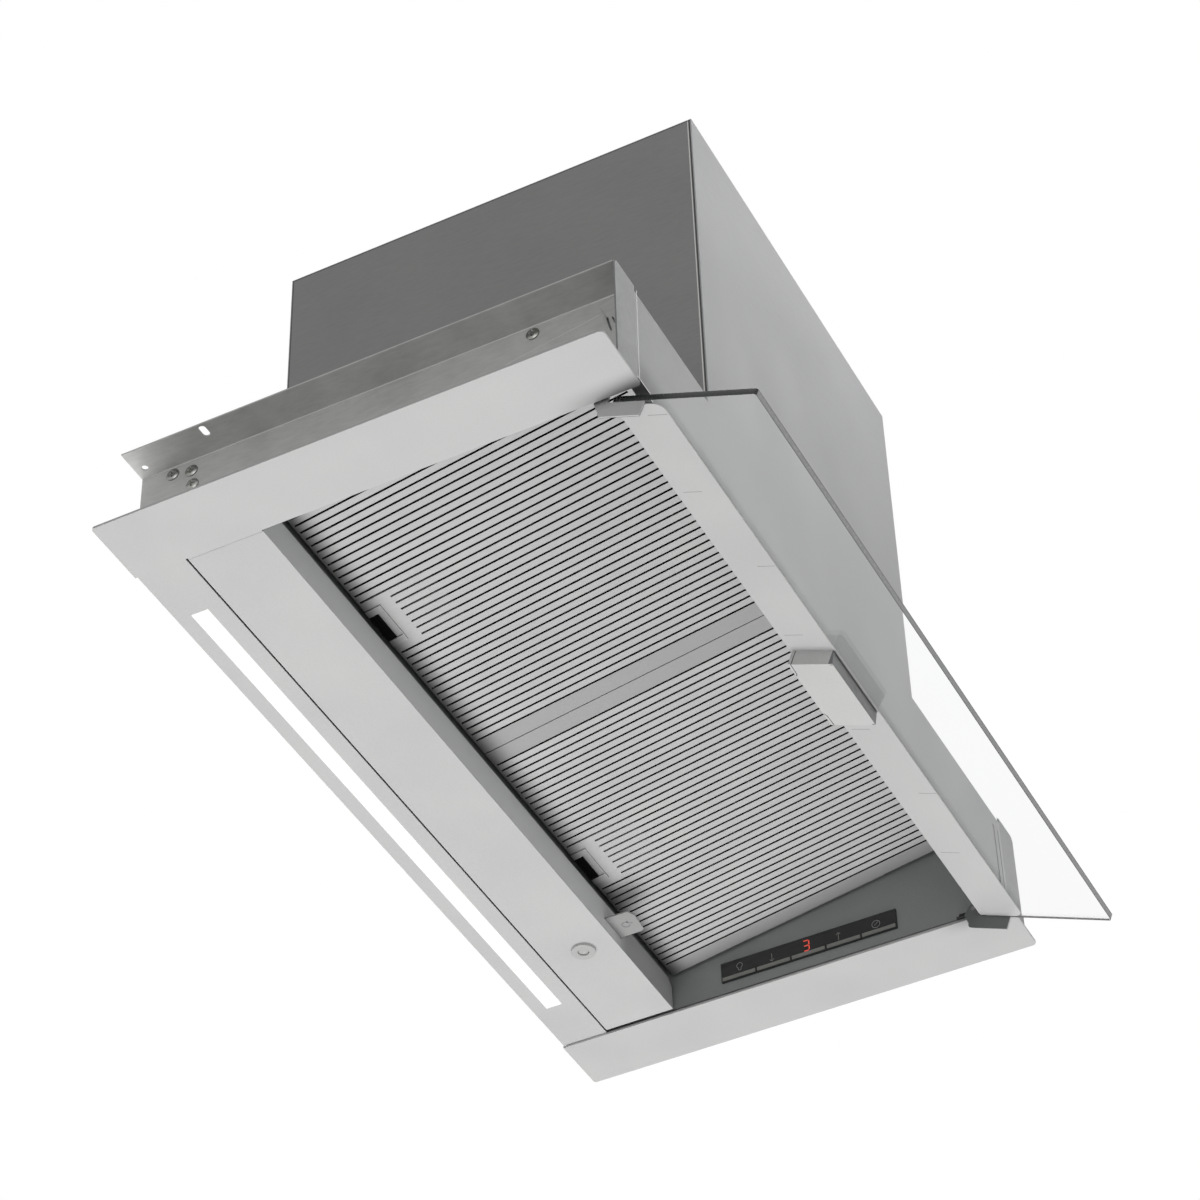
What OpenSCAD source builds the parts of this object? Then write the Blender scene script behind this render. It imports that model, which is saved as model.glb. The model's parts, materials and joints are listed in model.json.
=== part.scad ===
// Integrated range hood for a wall cabinet, seen as it hangs.
// +X runs to the right, -Y is the front where the glass visor pulls out, +Z is up.
// The origin is the middle of the underside of the two end cover plates.

/* [Cabinet fit] */
// Outside width of the wall cabinet that the hood fills
cabinet_w = 600; // [560:10:900]
// Thickness of the cabinet's side panels
cabinet_side_t = 19; // [16:1:22]
// Gap between a side flange and the cabinet's side panel
flange_gap = 1; // [0.5:0.5:3]
// How far an end cover plate stays inside the cabinet's outer face
plate_inset = 1; // [0:0.5:3]
// Thickness of the end cover plates
plate_t = 1.5; // [1.2:0.1:2]
// How much deeper the end cover plates are than the body
plate_overhang = 1; // [0:0.5:2]
// Radius of the cover plates' front outer corner
plate_corner_r = 3; // [2:0.5:12]

/* [Lower body] */
// Thickness of the casing's sheet metal
sheet_t = 1; // [0.8:0.1:1.2]
// Depth of the body, front to back
body_d = 310; // [300:2:340]
// Height of the deck's underside above the cover plates' underside
deck_z = 70; // [66:1:80]
// Width of the side flanges
flange_w = 22; // [18:1:30]
// Height of the side flanges' underside
flange_z = 72; // [71.5:0.5:82]
// How far a cover plate reaches in past the body's side
plate_lip = 3.5; // [3.2:0.1:4.5]
// Height of the front panel's bottom edge
front_lip_z = 4.4; // [4.2:0.1:6]
// Depth of the front panel's bottom fold
front_lip_d = 7; // [4:0.5:9]
// Height of the front ears above the side flanges' underside
ear_rise = 2; // [1:0.5:4]
// Width of a flange slot
slot_w = 4.4; // [4:0.1:5]
// Length of a flange slot, end to end
slot_l = 8.5; // [7:0.5:12]
// Radius of the small holes in the side flanges
flange_hole_r = 2; // [1.5:0.1:2.5]

/* [Motor box] */
// Width of the motor box
box_w = 284; // [270:2:320]
// How far the motor box's middle lies from the body's middle
box_shift = -23; // [-40:1:0]
// Depth of the motor box
box_d = 276; // [260:2:290]
// Height of the motor box's top
box_top_z = 309; // [305:1:360]
// Outer radius of the duct collar
collar_r = 75; // [70:1:76]
// Height of the duct collar above the motor box
collar_h = 41; // [30:1:50]
// Wall of the duct collar
collar_wall = 1.2; // [1:0.1:2]

/* [Light and flap] */
// Depth of the light panel at the rear
led_d = 31.5; // [28:0.5:36]
// Distance from an end of the light window to the cover plate
window_from_plate = 41.7; // [35:0.1:100]
// Depth of the light window
window_d = 11; // [8:0.5:13]
// Depth of the rear flap
flap_d = 48.2; // [44:0.2:54]
// Height of the rear flap's front wall
flap_wall_z = 23; // [16:0.5:24]
// Gap between an end of the rear flap and the cover plate
flap_end_gap = 2.5; // [1.5:0.5:12]
// Thickness of a sliding release tab
tab_t = 1; // [0.8:0.1:1.2]
// Width of the release tab
tab_w = 22; // [16:1:26]
// How far the release tab stands out of the flap's wall
tab_reach = 17.8; // [12:0.2:19]
// Distance from the flap's right end to the middle of the release tab
tab_from_end = 84; // [72:1:102]

/* [Grease filters] */
// Slope of the filters, rising to the front
filter_tilt = 9.6; // [9:0.1:9.8]
// Thickness of a filter
filter_h = 6.5; // [5:0.1:6.6]
// Distance between neighbouring filter slots
slot_pitch = 6; // [5.5:0.1:8]
// Width of a filter slot
filter_slot_w = 1.5; // [1:0.1:2]
// Plain band beside the outermost slots, at least
slot_side_band = 11; // [8:0.5:30]
// Radius of the bead that a filter hangs on
bead_r = 2.6; // [2.2:0.1:2.7]

/* [Visor] */
// Tilt of the open visor
visor_tilt = 22.3; // [15:0.1:25]
// Depth of the glass
glass_d = 87; // [60:1:87]
// Thickness of the glass
glass_t = 3.8; // [3:0.1:3.8]
// Depth of the visor's metal strip
strip_d = 28; // [20:1:34]
// Width of the visor's handle
handle_w = 60; // [40:2:90]
// Height of the visor's handle
handle_h = 9.5; // [7:0.5:12]
// Radius of the visor's pivot pins
visor_pin_r = 1.5; // [1.2:0.1:1.6]

/* [Controls] */
// Length of the control panel
panel_l = 122; // [110:1:130]
// Height of the control panel
panel_h = 15; // [13:0.5:18]
// Distance between neighbouring keys
key_pitch = 24.3; // [22:0.1:24.3]
// Height of a key
key_h = 3; // [2.5:0.1:5]
// Travel of a key
key_travel = 0.4; // [0.3:0.1:0.4]

/* [Fan] */
// Radius of the impeller
impeller_r = 60; // [50:1:62]
// Width of the impeller
impeller_w = 90; // [70:2:94]
// Number of impeller blades
blades = 36; // [12:1:40]
// Radius of the motor's shaft
shaft_r = 4; // [3:0.5:5]

/* [Hidden] */
$fn = 48;

// Overrun of a cut past the face that it opens
over = 0.5;
// Gap between pieces that move past each other
run_gap = 0.3;
// Radial clearance of a pin that turns in a hole
pin_gap = 0.04;

// Body planes
body_x = cabinet_w / 2 - cabinet_side_t - flange_gap - flange_w;
flange_x = body_x + flange_w;
plate_out_x = cabinet_w / 2 - plate_inset;
plate_in_x = body_x - plate_lip;
web_in_x = body_x - sheet_t;
front_y = -body_d / 2;
rear_y = body_d / 2;
deck_top_z = deck_z + sheet_t;
front_in_y = front_y + sheet_t;
back_wall_y = rear_y - 2 * sheet_t;
ear_z = flange_z + ear_rise;
ear_chamfer = 2.5;
small_corner_r = 2;

// Inner side walls stand between the webs, clear of the visor runners
wall_t = 0.8;
wall_x = web_in_x - 2 * wall_t;
glide_t = 0.4;
tongue_t = 0.8;
wall_z = plate_t + glide_t + tongue_t + 2 * run_gap;

// Flange fixings
slot_from_edge = 5.7;
flange_slot_from_rear = 51.8;
slot_y = rear_y - flange_slot_from_rear;
hole_from_web = 7.3;
flange_hole_from_rear = 7.3;
hole_y = rear_y - flange_hole_from_rear;

// Screws on the side webs, as shares of the way back from the middle and up to the deck
screw_head_r = 4;
screw_head_h = 1.6;
screw_shank_r = 1.9;
screw_place_shares = [[0.86, 0.944], [0.78, 0.906], [0.772, 0.749], [-0.609, 0.94]];
screw_places = [for (share = screw_place_shares) [share[0] * rear_y, share[1] * deck_z]];
tab_slit_w = 1;
// Each slit as the depth from the front and the height of its upper and its lower end
tab_slits = [[[15.5, 56.4], [13.3, 45.3]], [[12.5, 55.5], [10.4, 49.3]]];

// Overlap seams at the right end of the front panel
seam_depth = 0.4;
seam_z = 13;
seam_h = 48;
wide_seam_w = 3;
thin_seam_w = 1;
wide_seam_from_end = 14.5;
thin_seam_from_end = 6;
wide_seam_x = body_x - wide_seam_from_end;
thin_seam_x = body_x - thin_seam_from_end;

// Motor box
box_x0 = box_shift - box_w / 2;
box_x1 = box_shift + box_w / 2;
box_y1 = front_y + box_d;
intake_edge = 10;
intake_from_fan = 62;
collar_in_r = collar_r - collar_wall;
collar_y = box_y1 - box_d / 2;
collar_flange_w = 9;
collar_flange_t = 1.2;

// Light panel
led_y = rear_y - led_d;
led_half_l = plate_in_x - run_gap;
panel_z = plate_t;
panel_top_z = panel_z + sheet_t;
led_upstand_h = 22;
window_l = 2 * (plate_in_x - window_from_plate);
window_from_rear = 9.2;
window_y = rear_y - window_from_rear;
diffuser_gap = 0.2;
diffuser_drop = 0.2;
diffuser_flange = 1.8;
diffuser_flange_t = 1;
led_box_h = 11;
led_box_over = 3;
led_board_t = 1;
led_count = 12;
led_chip = 3;
led_chip_h = 0.8;

// Rear flap
flap_y = led_y - flap_d;
flap_gap = 0.6;
flap_half = plate_in_x - flap_end_gap;
tab_x = flap_half - tab_from_end;
flap_pin_r = 1.2;
knuckle_r = 2.4;
knuckle_l = 12;
knuckle_back = 0.1;
knuckle_rise = 0.3;
flap_axis_y = led_y - flap_gap - knuckle_r - knuckle_back;
flap_axis_z = panel_z + knuckle_r + knuckle_rise;
flap_chamfer = 5;
tab_z = 10;
tab_notch_gap = 1.2;
tab_travel = 5;
tab_nose = 1.2;
guide_w = 4;
guide_d = 6;
tab_back = sheet_t + guide_d + tab_travel;
knob_from_tab = 0.9;
knob_from_wall = 21.4;
knob_x = tab_x + knob_from_tab;
knob_y = flap_y + knob_from_wall;
knob_r = 7.75;
knob_t = 2;
cup_r = 6.9;
cup_gap = 0.05;
cup_t = 0.5;
cup_depth = 1.8;
button_r = 3.3;
button_gap = 0.2;
button_lip = 1.2;
button_travel = 3;
button_sunk = 1;
button_rise = knob_t - button_sunk + cup_depth + cup_t + button_lip + button_travel;

// Filters, drawn about the bead at their front edge
bead_from_front = 23;
bead_gap = 0.3;
rail_t = 0.8;
rail_r = bead_r + bead_gap + rail_t;
bead_y = front_y + bead_from_front;
rail_under_deck = 0.1;
bead_z = deck_z - rail_r - rail_under_deck;
bead_drop = 2.8;
filter_gap = 0.3;
rear_reach = flap_y - filter_gap - bead_y;
filter_l = (rear_reach + bead_drop * sin(filter_tilt)) / cos(filter_tilt);
filter_in_x = 0.35;
filter_side_gap = 0.9;
filter_out_x = plate_in_x - filter_side_gap;
filter_w = filter_out_x - filter_in_x;
slots = 2 * floor((filter_w / 2 - slot_side_band) / slot_pitch) + 1;
filter_mid_x = (filter_in_x + filter_out_x) / 2;
filter_sheet = 0.8;
rim_front = rail_r + run_gap;
bead_web_t = 1.2;
slot_from_rim = 7;
slot_from_rear = 1.3;
short_slot_from_rear = 18;
slot_front = rim_front + slot_from_rim;
slot_rear = filter_l - slot_from_rear;
short_slot_rear = filter_l - short_slot_from_rear;
short_slots = 6;
mesh_gap = 0.3;
mesh_t = 4;
rail_open_low = -52;
rail_open_high = 75;
rail_lip_w = 7;
rail_lip_t = 0.4;
latch_w = 22;
latch_l = 5.5;
latch_t = 1.2;
latch_gap = 0.1;
latch_travel = 4;
latch_plate_w = 33;
latch_plate_t = 0.8;
latch_plate_lip = 0.5;
latch_plate_l = latch_plate_lip + latch_l + latch_travel;
latch_rib_w = 1;
latch_rib_h = 0.5;

// Rear channel behind the filters
channel_behind_flap = 3.3;
channel_over_flap = 1.5;
channel_y = flap_y + channel_behind_flap;
channel_z = flap_wall_z + channel_over_flap;
channel_lip_d = 6.6;
channel_lip_z = bead_z - (channel_y - bead_y) * tan(filter_tilt) + filter_h;

// Visor, drawn in the tilted frame of the open glass: u runs to its free edge, v up from the strip
visor_from_front = 16.5;
visor_y = front_y + visor_from_front;
visor_z = -3.4;
strip_t = 0.6;
strip_side_gap = 4.5;
strip_x = plate_in_x - strip_side_gap;
glass_side_gap = 2;
glass_x = plate_in_x - glass_side_gap;
glass_back = 1;
glass_front = glass_d - glass_back;
glass_top = strip_t + glass_t;
glass_corner_r = 1.5;
strip_corner_r = 6;
clip_back = 2;
clip_lip = 10;
clip_t = 0.6;
pivot_u = -8.6;
pivot_v = 5;
arm_t = 1.3;
arm_side_gap = 3.5;
arm_x = plate_in_x - arm_side_gap;
arm_front = 18.6;
arm_low = 8.8;
arm_toe = 8.5;
arm_heel = 13;
arm_toe_r = 3;
arm_head_r = 3.5;
arm_foot = 2;
handle_over = 1;
handle_lean = 2.2;
handle_t = 0.8;
pivot_y = visor_y - pivot_u * cos(visor_tilt) - pivot_v * sin(visor_tilt);
pivot_z = visor_z - pivot_u * sin(visor_tilt) + pivot_v * cos(visor_tilt);
visor_travel = 72;
ear_t = 1.5;
ear_r = 3;
ear_half = 10;
tongue_half = 12;
runner_x = arm_x + arm_t + run_gap;
runner_out_x = runner_x + ear_t;
glide_side_gap = 0.1;
tongue_out_x = web_in_x - glide_side_gap;
tongue_z = plate_t + glide_t + run_gap;
glide_from_front = 2;
glide_past_runner = 4;
glide_y0 = front_y + glide_from_front;
glide_y1 = pivot_y + visor_travel + tongue_half + glide_past_runner;

// Control panel on the right inner wall
panel_from_flap = 94.8;
panel_mid_y = flap_y - panel_from_flap;
panel_z0 = 11;
panel_proud = 1.3;
panel_face_x = wall_x - panel_proud;
fascia_t = 0.9;
fascia_behind = 0.6;
fascia_back_x = wall_x + fascia_behind;
membrane_t = 0.35;
board_t = 0.7;
key_proud = 0.3;
key_gap = 0.25;
key_rest_gap = 0.15;
key_t = key_proud + panel_proud + fascia_behind - membrane_t - key_travel - key_rest_gap;
key_from_low = 0.7;
key_z = panel_z0 + key_from_low;
keys = 5;
tray_wall = 1;

// Fan
fan_w = 110;
fan_wall = 1.5;
fan_x0 = box_shift - fan_w / 2;
fan_x1 = box_shift + fan_w / 2;
fan_before_collar = 48;
fan_y = collar_y - fan_before_collar;
scroll_gap = 6;
scroll_grow = 29;
scroll_start = 55;
scroll_sweep = 305;
scroll_low_share = (270 - scroll_start) / scroll_sweep;
scroll_r0 = impeller_r + scroll_gap;
scroll_bottom = scroll_r0 + scroll_grow * scroll_low_share;
fan_foot_h = 6;
fan_z = deck_top_z + fan_foot_h + scroll_bottom + fan_wall;
scroll_steps = 40;
inlet_r = 48;
outlet_rise = 75;
outlet_z = fan_z + outlet_rise;
foot_half = 24;
blade_t = 1;
blade_band = 10;
blade_lean = 28;
ring_t = 2;
hub_r = 12;
hub_l = 15;
motor_r = 36;
motor_gap = 3;
shaft_end = 22;
bracket_t = 2;
bracket_ring = 6;
bracket_arm_w = 9;
bracket_reach = 56;
capacitor_r = 15;
capacitor_l = 60;
duct_gap = 1;
collar_flap_rise = 11;
collar_flap_z = box_top_z + collar_flap_rise;
flap_plate_t = 1.2;
flap_pin_gap = 3.4;
collar_flap_gap = 2;
collar_flap_r = collar_in_r - collar_flap_gap;
collar_pin_r = 1.5;
collar_knuckle_r = 3;
collar_knuckle_l = 14;
collar_knuckle_in = 16;
collar_knuckle_step = 16;

// Electronics in the rear compartment
unit_from_side = 57;
unit_x0 = -web_in_x + unit_from_side;
unit_l = 150;
unit_from_flap = 9;
unit_y0 = flap_y + unit_from_flap;
unit_d = 60;
unit_h = 34;
unit_wall = 1.6;
gland_r = 9;
gland_l = 14;
gland_nut_r = 12;
gland_nut_l = 5;
gland_bore_r = 4;
gland_from_side = 40;
gland_from_top = 24;

// A box between two corners
module span(low, high) {
    translate(low) cube(high - low);
}

// The same piece at the left end and at the right end
module mirror_x(left) {
    if (left) mirror([1, 0, 0]) children();
    else children();
}

// A rod along X
module rod_x(x0, x1, y, z, r) {
    translate([x0, y, z]) rotate([0, 90, 0]) cylinder(r = r, h = x1 - x0);
}

// Puts a filter's own frame, with the bead as its origin, in place
module at_filter() {
    translate([0, bead_y, bead_z]) rotate([-filter_tilt, 0, 0]) children();
}

// Puts the visor's own frame in place, with u along -Y and v along +Z
module at_visor() {
    translate([0, visor_y, visor_z]) rotate([visor_tilt, 0, 0]) children();
}

// A box in the visor's frame, from u0 to u1 and from v0 to v1
module visor_span(x0, x1, u0, u1, v0, v1) {
    span([x0, -u1, v0], [x1, -u0, v1]);
}

// A flat sheet in the visor's frame with its two free corners rounded
module visor_sheet(half, u0, u1, v0, t, r) {
    translate([0, 0, v0]) linear_extrude(t) union() {
        translate([-half, -u1 + r]) square([2 * half, u1 - u0 - r]);
        translate([-half + r, -u1]) square([2 * half - 2 * r, r]);
        for (side = [-1, 1]) translate([side * (half - r), -u1 + r]) circle(r = r);
    }
}

// Profile in the YZ plane, drawn along X
module along_x(x0, x1) {
    translate([x0, 0, 0]) rotate([90, 0, 90]) linear_extrude(x1 - x0) children();
}

// Front panel: one sheet for the lower front and the motor box's front
module front_panel() {
    color([0.77, 0.77, 0.77]) difference() {
        union() {
            span([-web_in_x, front_y, front_lip_z], [web_in_x, front_in_y, deck_z]);
            span([box_x0, front_y, deck_z], [box_x1, front_in_y, box_top_z]);
            span([-wall_x, front_in_y, front_lip_z],
                [wall_x, front_y + front_lip_d, front_lip_z + wall_t]);
        }
        front_seams();
    }
}

// Shallow overlap seams near the right end of the front panel
module front_seams() {
    for (seam = [[wide_seam_x, wide_seam_w], [thin_seam_x, thin_seam_w]])
        span([seam[0], front_y - over, seam_z],
            [seam[0] + seam[1], front_y + seam_depth, seam_z + seam_h]);
}

// Lower shell: the deck over the filters and the rear wall
module lower_shell() {
    color([0.62, 0.63, 0.63]) difference() {
        union() {
            span([-web_in_x, front_in_y, deck_z], [web_in_x, rear_y - sheet_t, deck_top_z]);
            span([-web_in_x, back_wall_y, panel_top_z], [web_in_x, rear_y - sheet_t, deck_top_z]);
        }
        deck_intakes();
    }
}

// The two air intakes in the deck, one on each side of the fan
module deck_intakes() {
    left = [box_x0 + intake_edge, box_shift - intake_from_fan];
    right = [box_shift + intake_from_fan, box_x1 - intake_edge];
    for (x = [left, right])
        span([x[0], front_in_y + intake_edge, deck_z - over],
            [x[1], box_y1 - intake_edge, deck_top_z + over]);
}

// Motor box: the two side sheets
module motor_box_sides() {
    color([0.46, 0.46, 0.46]) for (x = [box_x0, box_x1 - sheet_t])
        span([x, front_in_y, deck_top_z], [x + sheet_t, box_y1 - sheet_t, box_top_z - sheet_t]);
}

// Motor box: the back sheet with the hole for the cable gland
module motor_box_back() {
    color([0.6, 0.6, 0.6]) difference() {
        span([box_x0, box_y1 - sheet_t, deck_top_z], [box_x1, box_y1, box_top_z - sheet_t]);
        gland_hole();
    }
}

// Motor box: the top sheet with the duct hole
module motor_box_top() {
    color([0.6, 0.6, 0.6]) difference() {
        span([box_x0, front_in_y, box_top_z - sheet_t], [box_x1, box_y1, box_top_z]);
        translate([box_shift, collar_y, box_top_z - sheet_t - over])
            cylinder(r = collar_in_r, h = sheet_t + 2 * over);
    }
}

// Hole for the cable gland in the motor box's back
module gland_hole() {
    translate([box_x1 - gland_from_side, box_y1 - sheet_t - over, box_top_z - gland_from_top])
        rotate([-90, 0, 0]) cylinder(r = gland_r, h = sheet_t + 2 * over);
}

// Side bracket: web, flange with its fixings, and front ear
module side_bracket(left) {
    color([0.58, 0.59, 0.59]) mirror_x(left) difference() {
        union() {
            span([web_in_x, front_in_y, plate_t], [body_x, rear_y - sheet_t, flange_z + sheet_t]);
            span([web_in_x, front_in_y, flange_z], [flange_x, rear_y - sheet_t, flange_z + sheet_t]);
            bracket_ear();
        }
        flange_slot();
        translate([body_x + hole_from_web, hole_y, flange_z - over])
            cylinder(r = flange_hole_r, h = sheet_t + 2 * over);
        for (place = screw_places)
            rod_x(web_in_x - over, body_x + over, place[0], place[1], screw_shank_r);
        for (ends = tab_slits) along_x(web_in_x - over, body_x + over) polygon([
            [front_y + ends[0][0], ends[0][1]], [front_y + ends[1][0], ends[1][1]],
            [front_y + ends[1][0] + tab_slit_w, ends[1][1]], [front_y + ends[0][0] + tab_slit_w, ends[0][1]]
        ]);
    }
}

// Front ear of a bracket, with its outer top corner cut off
module bracket_ear() {
    translate([0, front_in_y, 0]) rotate([90, 0, 0]) linear_extrude(sheet_t) polygon([
        [web_in_x, plate_t], [flange_x, plate_t], [flange_x, ear_z - ear_chamfer],
        [flange_x - ear_chamfer, ear_z], [web_in_x, ear_z]
    ]);
}

// Slot in a side flange, running across the hood
module flange_slot() {
    straight = slot_l - slot_w;
    translate([flange_x - slot_from_edge, slot_y, flange_z - over])
        linear_extrude(sheet_t + 2 * over) union() {
            square([straight, slot_w], center = true);
            for (side = [-1, 1]) translate([side * straight / 2, 0]) circle(r = slot_w / 2);
        }
}

// Pan head screws in the side webs
module bracket_screws() {
    color([0.7, 0.7, 0.7]) for (left = [true, false]) mirror_x(left) for (place = screw_places) {
        rod_x(web_in_x, body_x, place[0], place[1], screw_shank_r);
        rod_x(body_x, body_x + screw_head_h, place[0], place[1], screw_head_r);
    }
}

// End cover plate under the cabinet's side panel
module cover_plate(left) {
    plate_y = rear_y + plate_overhang / 2;
    color([0.79, 0.79, 0.79]) mirror_x(left) linear_extrude(plate_t) difference() {
        translate([plate_in_x, -plate_y]) square([plate_out_x - plate_in_x, 2 * plate_y]);
        corner_cut(plate_out_x, -plate_y, -1, 1, plate_corner_r);
        corner_cut(plate_out_x, plate_y, -1, -1, small_corner_r);
        corner_cut(plate_in_x, -plate_y, 1, 1, small_corner_r);
    }
}

// What a corner of radius r loses at [x, y], where the sheet lies towards sx and sy
module corner_cut(x, y, sx, sy, r) {
    difference() {
        translate([x + sx * (r - over) / 2, y + sy * (r - over) / 2]) square(r + over, center = true);
        translate([x + sx * r, y + sy * r]) circle(r = r);
    }
}

// Inner side wall beside the filters, with a window for the controls on the right
module inner_wall(left) {
    color([0.42, 0.43, 0.43]) mirror_x(left) difference() {
        span([wall_x, front_in_y, wall_z], [wall_x + wall_t, back_wall_y, deck_z]);
        rod_x(wall_x - over, wall_x + wall_t + over, flap_axis_y, flap_axis_z, flap_pin_r);
        if (!left) panel_window();
    }
}

// Window for the control panel in the right inner wall
module panel_window() {
    span([wall_x - over, panel_mid_y - panel_l / 2, panel_z0],
        [wall_x + wall_t + over, panel_mid_y + panel_l / 2, panel_z0 + panel_h]);
}

// Rear channel: the wall behind the filters and the lip that they close against
module rear_channel() {
    color([0.35, 0.36, 0.36]) {
        span([-wall_x, channel_y, channel_z], [wall_x, channel_y + sheet_t, deck_z]);
        span([-wall_x, channel_y - channel_lip_d, channel_lip_z],
            [wall_x, channel_y, channel_lip_z + sheet_t]);
    }
}

// Front rail: an open gutter that holds the filters' beads
module filter_front_rail() {
    color([0.5, 0.5, 0.5]) union() {
        difference() {
            rod_x(-wall_x, wall_x, bead_y, bead_z, rail_r);
            rod_x(-wall_x - over, wall_x + over, bead_y, bead_z, bead_r + bead_gap);
            along_x(-wall_x - over, wall_x + over) translate([bead_y, bead_z]) rail_opening();
        }
        span([-wall_x, bead_y - rail_lip_w, deck_z - rail_lip_t], [wall_x, bead_y, deck_z]);
    }
}

// The wedge that leaves the gutter open towards the rear
module rail_opening() {
    reach = 2 * rail_r;
    polygon([
        [0, 0], reach * [cos(rail_open_low), sin(rail_open_low)], reach * [1, 0],
        reach * [cos(rail_open_high), sin(rail_open_high)]
    ]);
}

// Light panel at the rear, with its window and the upstand on the rear wall
module led_panel() {
    color([0.79, 0.79, 0.79]) difference() {
        union() {
            span([-led_half_l, led_y + flap_gap, panel_z], [led_half_l, rear_y, panel_top_z]);
            span([-led_half_l, rear_y - sheet_t, panel_z], [led_half_l, rear_y, panel_z + led_upstand_h]);
        }
        span([-window_l / 2, window_y - window_d, panel_z - over],
            [window_l / 2, window_y, panel_top_z + over]);
    }
}

// Light cover that fills the window and rests on the panel by its flange
module led_diffuser() {
    color([0.96, 0.96, 0.94]) {
        span([-window_l / 2 + diffuser_gap, window_y - window_d + diffuser_gap, panel_z - diffuser_drop],
            [window_l / 2 - diffuser_gap, window_y - diffuser_gap, panel_top_z]);
        span([-window_l / 2 - diffuser_flange, window_y - window_d - diffuser_flange, panel_top_z],
            [window_l / 2 + diffuser_flange, window_y + diffuser_flange, panel_top_z + diffuser_flange_t]);
    }
}

// Board with its light chips, under the roof of the light housing
module led_board() {
    roof = panel_top_z + led_box_h - sheet_t;
    chip_z = roof - led_board_t - led_chip_h / 2;
    color([0.9, 0.9, 0.86]) {
        span([-window_l / 2, window_y - window_d, roof - led_board_t], [window_l / 2, window_y, roof]);
        for (i = [0:led_count - 1])
            translate([window_l * ((i + 0.5) / led_count - 0.5), window_y - window_d / 2, chip_z])
                cube([led_chip, led_chip, led_chip_h], center = true);
    }
}

// Light housing: a channel over the window
module led_housing() {
    x = window_l / 2 + led_box_over;
    y0 = window_y - window_d - led_box_over;
    y1 = window_y + led_box_over;
    color([0.75, 0.76, 0.78]) difference() {
        span([-x, y0, panel_top_z], [x, y1, panel_top_z + led_box_h]);
        span([-x + sheet_t, y0 + sheet_t, panel_top_z - over],
            [x - sheet_t, y1 - sheet_t, panel_top_z + led_box_h - sheet_t]);
    }
}

// Plastic strips on the cover plates that the visor's runners glide on
module glide_strips() {
    color([0.2, 0.2, 0.2]) for (left = [true, false]) mirror_x(left)
        span([plate_in_x + glide_side_gap, glide_y0, plate_t], [web_in_x, glide_y1, plate_t + glide_t]);
}

// A key's place along the control panel, from the rear to the front
function key_y(i) = panel_mid_y + ((keys - 1) / 2 - i) * key_pitch;

// Control fascia: a tray with an opening for each key
module control_fascia() {
    y0 = panel_mid_y - panel_l / 2 + diffuser_gap;
    y1 = panel_mid_y + panel_l / 2 - diffuser_gap;
    z0 = panel_z0 + diffuser_gap;
    z1 = panel_z0 + panel_h - diffuser_gap;
    color([0.1, 0.1, 0.1]) difference() {
        span([panel_face_x, y0, z0], [fascia_back_x, y1, z1]);
        span([panel_face_x + fascia_t, y0 + tray_wall, z0 + tray_wall],
            [fascia_back_x + over, y1 - tray_wall, z1 - tray_wall]);
        for (i = [0:keys - 1])
            span([panel_face_x - over, key_y(i) - key_pitch / 2 + tray_wall / 2, key_z],
                [panel_face_x + fascia_t + over, key_y(i) + key_pitch / 2 - tray_wall / 2, key_z + key_h]);
    }
}

// Key number i, standing a little proud of the fascia
module key(i) {
    half = key_pitch / 2 - tray_wall / 2 - key_gap;
    color([0.45, 0.45, 0.45])
        span([panel_face_x - key_proud, key_y(i) - half, key_z + key_gap],
            [panel_face_x - key_proud + key_t, key_y(i) + half, key_z + key_h - key_gap]);
}

// Rubber sheet between the keys and their board
module key_membrane() {
    color([0.25, 0.25, 0.25])
        span([fascia_back_x - membrane_t, panel_mid_y - panel_l / 2 + tray_wall + run_gap,
                panel_z0 + tray_wall + run_gap],
            [fascia_back_x, panel_mid_y + panel_l / 2 - tray_wall - run_gap, key_z + key_h]);
}

// Switch board on the back of the fascia
module control_board() {
    color([0.1, 0.35, 0.2])
        span([fascia_back_x, panel_mid_y - panel_l / 2 + tray_wall, panel_z0 + tray_wall],
            [fascia_back_x + board_t, panel_mid_y + panel_l / 2 - tray_wall,
                panel_z0 + panel_h - tray_wall]);
}

// Grease filter: slotted face, rim, latch plate and the bead that it hangs on
module filter_frame(left) {
    color([0.6, 0.6, 0.6]) mirror_x(left) at_filter() {
        difference() {
            span([filter_in_x, rim_front, -bead_drop], [filter_out_x, filter_l, filter_h - bead_drop]);
            span([filter_in_x + filter_sheet, rim_front + filter_sheet, -bead_drop + filter_sheet],
                [filter_out_x - filter_sheet, filter_l - filter_sheet, filter_h + over]);
            filter_slots();
        }
        span([filter_in_x, 0, -bead_web_t / 2], [filter_out_x, rim_front, bead_web_t / 2]);
        rod_x(filter_in_x, filter_out_x, 0, 0, bead_r);
        latch_plate();
    }
}

// The slots of a filter; those in front of the latch are shorter
module filter_slots() {
    for (i = [0:slots - 1]) {
        from_middle = i - (slots - 1) / 2;
        x = filter_mid_x + from_middle * slot_pitch - filter_slot_w / 2;
        slot_end = abs(from_middle) <= short_slots / 2 ? short_slot_rear : slot_rear;
        span([x, slot_front, -bead_drop - over],
            [x + filter_slot_w, slot_end, -bead_drop + filter_sheet + over]);
    }
}

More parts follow.
